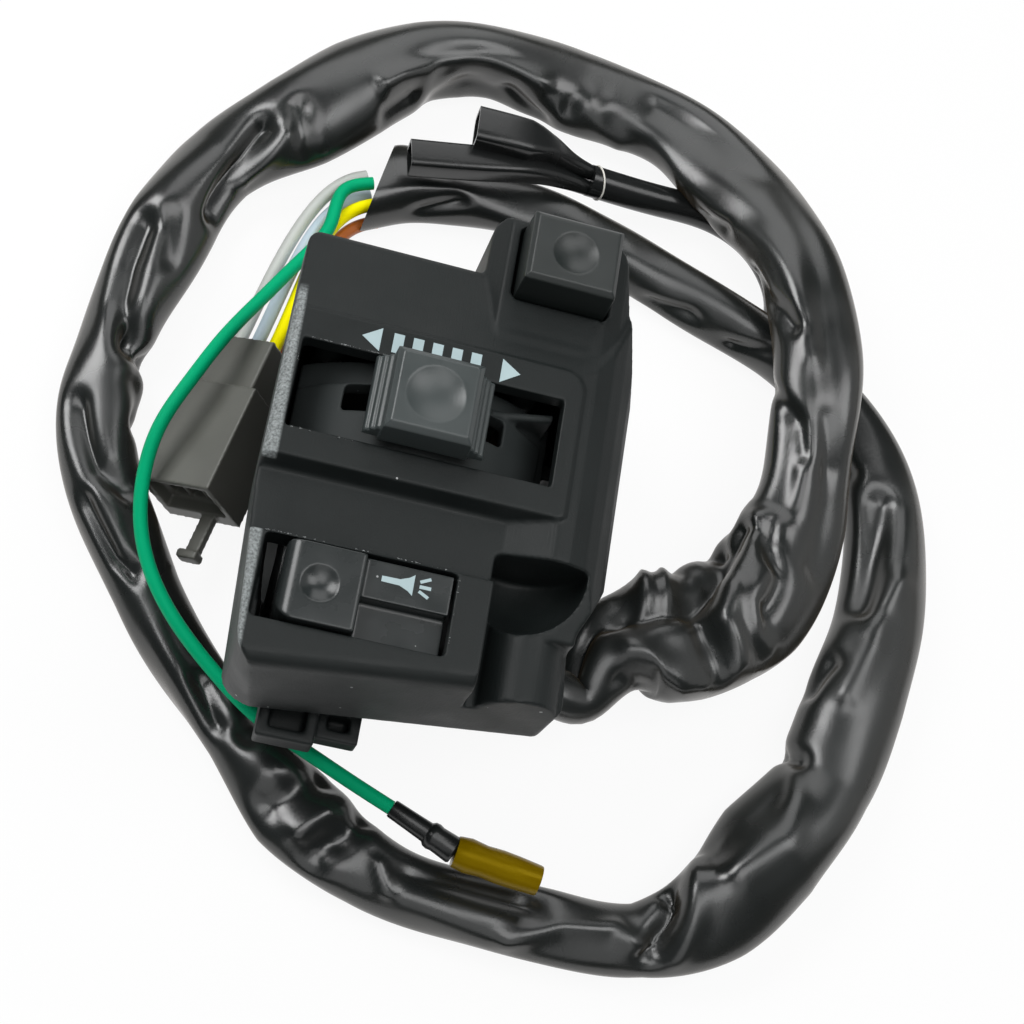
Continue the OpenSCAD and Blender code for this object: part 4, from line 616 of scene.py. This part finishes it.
def sheath_line():
    """Route of the sheath, sunk past the outlet where the sheath is thinner, so that it lies on the floor."""
    fill = np.interp(np.arange(len(HARNESS)), FILL_AT, FILL)
    sink = np.where(np.arange(len(HARNESS)) < OUTLET_POINTS, 0, (fill - 1) * SHEATH_T / 2)
    return HARNESS + np.stack([0 * sink, 0 * sink, sink], axis=1)


def softened(row, reach=9):
    """Row of values averaged over a bell-shaped window of reach steps to each side."""
    bell = np.cos(np.linspace(-np.pi / 2, np.pi / 2, 2 * reach + 3)[1:-1]) ** 2
    return np.convolve(np.pad(row, reach, "edge"), bell / bell.sum(), "valid")


def folded_sheath():
    """Soft folded tube: an ellipse along the route whose radius grows by lift(s, a) / half size.

    s is the length along the route and a the angle round it. lift is a sum of slow cosines in s and a, less
    depth * exp(-(d / half width) ^ power) for each fold, where d is the distance to its line on the unrolled
    skin. The open end is cut aslant, and its edge turns back inside as a lip.
    """
    path, place = smooth_path(sheath_line(), SHEATH_ROWS)
    _, side, _ = axes_along(path)
    path = path - side * np.interp(place, INNER_SHIFT_AT, INNER_SHIFT)[:, None]
    tangent, side, up = axes_along(path)
    fill = np.interp(place, FILL_AT, FILL)
    outer = SHEATH_W / 2 * fill + softened(np.interp(place, OUTER_AT, OUTER_MORE))
    inner = SHEATH_W / 2 * fill + softened(np.interp(place, INNER_AT, INNER_MORE))
    angle = np.radians(np.linspace(-90, 270, SHEATH_COLS, endpoint=False))[None, :]
    s = np.linspace(0, path_length(path), SHEATH_ROWS)[:, None]
    grid_s, grid_arc = np.broadcast_arrays(s, angle * ARC_R)
    lift = waves(s, angle, 14, (1, 3), (28, 80)) * np.interp(place, WAVE_AT, WAVE)[:, None]
    for points, wide, deep, power in FOLDS:
        line = np.array(points, float) * [1, math.radians(ARC_R)]
        lift = lift - deep * np.exp(-(line_distance(grid_s, grid_arc, line) / (SPREAD * wide)) ** power)
    across = np.where(np.cos(angle) > 0, outer[:, None], inner[:, None]) * np.cos(angle)
    above = SHEATH_T / 2 * fill[:, None] * np.sin(angle)
    size = np.hypot(across, above)
    grow = np.minimum(size + lift, WIDEST) / size
    across, above = across * grow, above * grow
    ends = np.interp(s, [0, s[-1, 0] - END_REACH, s[-1, 0]], [0, 0, 1])
    rings = (path[:, None] + side[:, None] * across[..., None] + up[:, None] * above[..., None]
             - tangent[:, None] * (across * END_SLANT * ends)[..., None])
    lip = path[-LIP_ROWS:, None] + (rings[-LIP_ROWS:] - path[-LIP_ROWS:, None]) * LIP_IN
    rings = np.concatenate([rings, lip[::-1]])
    rings[..., 2] = np.maximum(rings[..., 2], FLOOR_Z + FLOOR_GAP)
    return path, skin("harness_sheath_skin", rings, SHEATH, 75)


sheath_path, sheath = folded_sheath()
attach(sheath, "case")
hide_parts("harness_sheath")

KNOTS = sheath_line()
END = KNOTS[-1]
END_DIR = unit(END - KNOTS[-2])
END_SIDE = unit(np.cross(END_DIR, [0.0, 0.0, 1.0]))
END_UP = np.cross(END_SIDE, END_DIR)


def end_spot(across, above):
    """Point on the open end of the sheath."""
    return END + END_SIDE * across + END_UP * above


def conn_turn(p):
    """Direction in the connector's frame, rolled about its length and then yawed into the part's frame."""
    roll, yaw = math.radians(CONN_ROLL), math.radians(CONN_YAW)
    x = p[0] * math.cos(roll) + p[2] * math.sin(roll)
    z = p[2] * math.cos(roll) - p[0] * math.sin(roll)
    return np.array([x * math.cos(yaw) - p[1] * math.sin(yaw), x * math.sin(yaw) + p[1] * math.cos(yaw), z])


def wire(name, path, node_name, material):
    """Round wire along a path in millimetres from the sheath's end."""
    obj = skin(name, rings_along(path, WIRE_D / 2, WIRE_D / 2, 18), material)
    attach(obj, "case")
    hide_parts(node_name)
    return obj


def cell_wire(across, above, col, row):
    """Bezier curve from the sheath's open end to a cell of the connector, with straight ends."""
    a = end_spot(across, above)
    d = CONN_AT + conn_turn([col * CELL_PITCH, CONN_L + NECK_L, row * CELL_PITCH / 2])
    b, c = a + END_DIR, d + conn_turn([0, 1, 0])
    k = np.linspace(0, 1, 60)[:, None]
    b1, c1 = b + END_DIR * 9, c + conn_turn([0, 15, 0])
    curve = b * (1 - k) ** 3 + b1 * 3 * k * (1 - k) ** 2 + c1 * 3 * k * k * (1 - k) + c * k ** 3
    return np.concatenate([[a], curve, [d]])


for colour, across, above, col, row, material in (
        ("grey", 4.2, 0.4, -1, 1, GREY_SKIN), ("blue", 1.2, -1, 0, 1, BLUE_SKIN),
        ("yellow", -1.6, 1, 1, 1, YELLOW_SKIN), ("orange", -3.6, -1.6, 1, -1, ORANGE_SKIN)):
    wire(colour + "_wire_skin", cell_wire(across, above, col, row), colour + "_wire", material)

black_l = float(np.linalg.norm(np.subtract(BULLET_MID, BULLET_START)))
amber_l = float(np.linalg.norm(np.subtract(BULLET_END, BULLET_MID)))
black_sleeve = turned("bullet_sleeve_black_skin", BULLET_START, BULLET_MID, [
    (0, 1.15), (0.05, 1.35), (0.3, 1.42), (black_l * 0.3, 1.5), (black_l * 0.56, 1.6), (black_l * 0.6, 2.0),
    (black_l * 0.66, 2.1), (black_l * 0.72, 1.95), (black_l - 0.3, 2.1), (black_l, 1.9)], SLEEVE)
amber_sleeve = turned("bullet_sleeve_amber_skin", BULLET_MID, BULLET_END, [
    (0, 1.5), (0, 2.3), (0.3, 2.4), (2, 2.65), (4.5, 2.4), (7, 2.55), (9.5, 2.5), (amber_l - 0.3, 2.3),
    (amber_l, 2.2), (amber_l, 2.0), (amber_l - 6, 2.05), (amber_l - 6, 1.95)], AMBER_SKIN)
bullet = turned("bullet_terminal_skin", BULLET_MID, BULLET_END, [
    (0.2, 1.25), (amber_l - 5, 1.25), (amber_l - 4.4, 1.9), (amber_l - 1.2, 1.9), (amber_l - 0.6, 1.6),
    (amber_l - 0.4, 1.3)], BRASS)
for obj, name, slot in ((black_sleeve, "bullet_sleeve_black", "black_vinyl"),
                        (amber_sleeve, "bullet_sleeve_amber", "amber_vinyl"),
                        (bullet, "bullet_terminal", "brass")):
    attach(obj, "case")
    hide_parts(name)
green_start = end_spot(1.6, 2.6)
green_path, _ = smooth_path(np.vstack([green_start, green_start + END_DIR * 4, GREEN, BULLET_START]), 160)
wire("green_wire_skin", green_path, "green_wire", GREEN_SKIN)


# Rows of the bore in a vinyl sleeve, and its size as a share of the outside
BORE_ROWS, BORE_IN = 24, 0.8


def vinyl_sleeve(name, route, half, node_name):
    """Sleeve along a route that goes from a round neck to a boxy open end with a bore."""
    path, place = smooth_path(route, 60)
    half = np.asarray(half, float)
    wide, high = (np.interp(place, np.arange(len(route)), half[:, i]) for i in (0, 1))
    round_rings, box_rings = (rings_along(path, wide, high, 48, box) for box in (2.0, 5.0))
    share = np.interp(place, [0.5, 2.5], [0, 1])[:, None, None]
    rings = round_rings * (1 - share) + box_rings * share
    bore = path[-BORE_ROWS:, None] + (rings[-BORE_ROWS:] - path[-BORE_ROWS:, None]) * BORE_IN
    obj = skin(name, np.concatenate([rings, bore[::-1]]), SLEEVE)
    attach(obj, "case")
    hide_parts(node_name)
    return obj


upper = vinyl_sleeve("branch_sleeve_upper_skin", UPPER, UPPER_HALF, "branch_sleeve_upper")
lower = vinyl_sleeve("branch_sleeve_lower_skin", LOWER, LOWER_HALF, "branch_sleeve_lower")
branch_path, _ = smooth_path(BRANCH, 80)
branch = skin("branch_lead_skin", rings_along(branch_path, LEAD_D / 2, LEAD_D / 2, 36), SLEEVE)
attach(branch, "case")
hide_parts("branch_lead")


TIE_ROWS, TIE_COLS = 48, 10


def tie(name, at, axis, radius, thick):
    """Thin ring round a lead: a torus, which is a small circle swept round a large one across the axis."""
    axis = unit(np.asarray(axis, float))
    side = unit(np.cross(axis, [0.0, 0.0, 1.0]))
    up = np.cross(side, axis)
    turn = np.linspace(0, 2 * np.pi, TIE_ROWS, endpoint=False)[:, None, None]
    small = np.linspace(0, 2 * np.pi, TIE_COLS, endpoint=False)[None, :, None]
    spoke = side * np.cos(turn) + up * np.sin(turn)
    verts = np.asarray(at, float) + spoke * (radius + thick * np.cos(small)) + axis * thick * np.sin(small)
    a = np.arange(TIE_ROWS * TIE_COLS).reshape(TIE_ROWS, TIE_COLS)
    b, c = np.roll(a, -1, axis=0), np.roll(a, -1, axis=1)
    quads = np.stack([a, b, np.roll(b, -1, axis=1), c], axis=-1).reshape(-1, 4)
    obj = mesh_object(name, verts.reshape(-1, 3), quads.tolist(), NYLON)
    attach(obj, "case")
    return obj


tie("branch_tie", [26.6, 79.6, -7.5], [1, 0.35, -0.15], 2.95, 0.16)


# Printed marks and moulding flash on the face

# Thickness of a mark and its gap above the face, in millimetres
MARK_T, MARK_GAP = 0.05, 0.01
# Heights of the turn plate, its rounded rim, the horn frame and the horn button's face, in millimetres
PLATE_Z, RIM_Z, HORN_FRAME_Z, HORN_Z = 34.3, 34.22, 34, 33.4
# Height of a flake of flash, and how deep its foot lies in the face, in millimetres
FLASH_H, FLASH_IN = 0.16, 0.02
# Smallest and largest reach of a flake in millimetres, factors that make it uneven, its size across the edge
# as a share of that along it, and how far its top leans to one corner
FLASH_REACH, FLASH_UNEVEN, FLASH_FLAT, FLASH_LEAN = (0.08, 0.3), (0.5, 1.3), 0.45, 0.6


def printed(name, outlines, z, body):
    """Flat marks: each outline in millimetres becomes a thin plate just above the face at height z."""
    verts, faces = [], []
    for line in outlines:
        flat = np.asarray(line, float)
        n, first = len(flat), len(verts)
        low = np.column_stack([flat, np.full(n, z + MARK_GAP)])
        verts.extend(np.vstack([low, low + [0, 0, MARK_T]]).tolist())
        ring = np.arange(n)
        nxt = np.roll(ring, -1)
        faces.append((first + n + ring).tolist())
        faces.append((first + ring[::-1]).tolist())
        faces.extend((first + np.stack([ring, nxt, nxt + n, ring + n], axis=1)).tolist())
    obj = mesh_object(name, verts, faces, MARK)
    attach(obj, body)
    return obj


def bar(x0, y0, x1, y1):
    """Outline of an upright rectangle."""
    return [(x0, y0), (x1, y0), (x1, y1), (x0, y1)]


printed("turn_arrows", [
    [(-11, 18.6), (-8.3, 16.8), (-8.3, 20.4)],
    [(11.9, 18.5), (9.1, 20.3), (9.1, 16.6)]], PLATE_Z, "case")
printed("turn_bars", [bar(x, 17.1, x + 1.5, 20.1) for x in (-6.6, -3.8, -1.0, 1.8, 4.6)], PLATE_Z, "case")
printed("horn_sign", [
    [(-1.8, -15.75), (0.7, -15.8), (1.9, -16.3), (2.6, -16.85), (2.6, -13.85), (1.9, -14.4), (0.7, -14.9),
     (-1.8, -14.95)],
    [(3.4, -15.6), (5.0, -15.6), (5.0, -15.1), (3.4, -15.1)],
    [(3.3, -14.5), (3.5, -14.9), (4.9, -14.2), (4.7, -13.8)],
    [(3.5, -15.8), (3.3, -16.2), (4.7, -16.9), (4.9, -16.5)]], HORN_Z, "horn_button")


def flakes(name, edges, material):
    """Ragged flash along straight edges: flat pyramids on three points with random place, size and turn.

    Each edge has its two ends in millimetres and a count. A pyramid's base points lie at angles 120 degrees
    apart on a stretched circle about a random place on the edge, and its top stands over the first of them.
    """
    middles = np.vstack([np.asarray(a, float) + rng.uniform(0, 1, (n, 1)) * np.subtract(b, a)
                         for a, b, n in edges]) - [0, 0, FLASH_IN]
    count = len(middles)
    turn = rng.uniform(0, 2 * np.pi, (count, 1)) + np.radians([[0, 120, 240]])
    reach = rng.uniform(*FLASH_REACH, (count, 1)) * rng.uniform(*FLASH_UNEVEN, (count, 3))
    spread = np.stack([reach * np.cos(turn), FLASH_FLAT * reach * np.sin(turn), 0 * turn], axis=-1)
    base = middles[:, None] + spread
    top = base[:, :1] * FLASH_LEAN + base.mean(1, keepdims=True) * (1 - FLASH_LEAN) + [0, 0, FLASH_H]
    first = 4 * np.arange(count)[:, None, None]
    faces = (first + np.array([[0, 2, 1], [0, 1, 3], [1, 2, 3], [2, 0, 3]])).reshape(-1, 3)
    obj = mesh_object(name, np.concatenate([base, top], axis=1).reshape(-1, 3), faces.tolist(), material)
    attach(obj, "case")
    return obj


flakes("case_flash", [
    ((-18.6, 16.5, PLATE_Z), (-6, 16.5, PLATE_Z), 34), ((-18.6, 2.7, PLATE_Z), (-8, 2.7, PLATE_Z), 12),
    ((-19, 12.6, RIM_Z), (-19, 13.6, RIM_Z), 5),
    ((-18, -12.3, HORN_FRAME_Z), (8.2, -12.3, HORN_FRAME_Z), 30),
    ((-18, -12.4, HORN_FRAME_Z), (-17, -12.3, HORN_FRAME_Z), 8),
    ((8.5, -12.6, HORN_FRAME_Z), (8.5, -24, HORN_FRAME_Z), 9)], FLASH)


# Stage: floor, light and camera

FLOOR_HALF = 4000
# Camera: direction from the part towards it, point looked at and distance in millimetres, and roll in degrees
TOWARDS, LOOKED_AT, AWAY, ROLL = np.array([-0.1599, -0.3753, 0.9130]), np.array([14, -2, 34]), 250, 13.23
# Width of its sensor in millimetres, and focal length as a multiple of that width
SENSOR, FOCAL = 36, 1824.8 / 1024


def plain_floor():
    """Wide pale floor that keeps a faint shadow and shows white to camera, glossy and transmission rays."""
    mat, tree, bsdf, _ = blank("floor")
    bsdf.inputs["Base Color"].default_value = (0.82, 0.82, 0.82, 1)
    bsdf.inputs["Roughness"].default_value = 0.9
    rays = node(tree, "ShaderNodeLightPath")
    glossy = node(tree, "ShaderNodeMath",
                  {0: rays.outputs["Is Camera Ray"], 1: rays.outputs["Is Glossy Ray"]}, operation="MAXIMUM")
    seen = node(tree, "ShaderNodeMath", {0: glossy.outputs[0], 1: rays.outputs["Is Transmission Ray"]},
                operation="MAXIMUM")
    part = node(tree, "ShaderNodeMath", {0: seen.outputs[0]}, operation="MULTIPLY")
    part.inputs[1].default_value = 0.92
    white = node(tree, "ShaderNodeEmission", Strength=1.0)
    mix = node(tree, "ShaderNodeMixShader", {0: part.outputs[0], 1: bsdf.outputs[0], 2: white.outputs[0]})
    tree.links.new(mix.outputs[0], tree.nodes["Material Output"].inputs["Surface"])
    corners = [[x * FLOOR_HALF, y * FLOOR_HALF, FLOOR_Z] for x, y in ((-1, -1), (1, -1), (1, 1), (-1, 1))]
    mesh_object("floor", corners, [[0, 1, 2, 3]], mat)


def softbox(name, at, aim, size, power):
    """Square area lamp at a point in millimetres, turned towards another."""
    lamp = bpy.data.lights.new(name, "AREA")
    lamp.shape = "SQUARE"
    lamp.size = size * MM
    lamp.energy = power
    obj = bpy.data.objects.new(name, lamp)
    at, aim = Vector(at) * MM, Vector(aim) * MM
    obj.location = at
    obj.rotation_euler = (aim - at).to_track_quat("-Z", "Y").to_euler()
    bpy.context.scene.collection.objects.link(obj)


def photo_camera():
    """Camera at the photograph's angle: it looks down at the face, rolled a little."""
    back = unit(TOWARDS)
    place = LOOKED_AT + AWAY * back
    right = unit(np.array([1.0, 0, 0]) - back * back[0])
    down = np.cross(-back, right)
    roll = math.radians(ROLL)
    across = right * math.cos(roll) - down * math.sin(roll)
    below = right * math.sin(roll) + down * math.cos(roll)
    data = bpy.data.cameras.new("camera")
    data.sensor_width = SENSOR
    data.lens = FOCAL * SENSOR
    data.clip_start = 0.01
    camera = bpy.data.objects.new("camera", data)
    columns = np.column_stack([across, -below, back, place * MM])
    camera.matrix_world = Matrix(np.vstack([columns, [0, 0, 0, 1]]).tolist())
    bpy.context.scene.collection.objects.link(camera)
    bpy.context.scene.camera = camera


def pale_world():
    """Dim even light from all round."""
    world = bpy.data.worlds.new("world")
    world.use_nodes = True
    back = world.node_tree.nodes["Background"]
    back.inputs["Color"].default_value = (0.92, 0.97, 1.0, 1)
    back.inputs["Strength"].default_value = 0.06
    bpy.context.scene.world = world


plain_floor()
pale_world()
softbox("key", (-310, 165, 380), (0, 5, 15), 250, 1.6)
softbox("ceiling", (0, -90, 800), (20, 10, 0), 420, 1.7)
softbox("ceiling right", (420, 130, 800), (10, 60, 0), 420, 2.2)
softbox("back", (-20, 430, 320), (10, 50, 0), 380, 0.8)
softbox("front", (40, -420, 420), (20, -20, 0), 500, 0.65)
softbox("right", (480, 150, 240), (40, 20, 0), 400, 0.25)
photo_camera()
bpy.context.scene.view_settings.view_transform = "Standard"
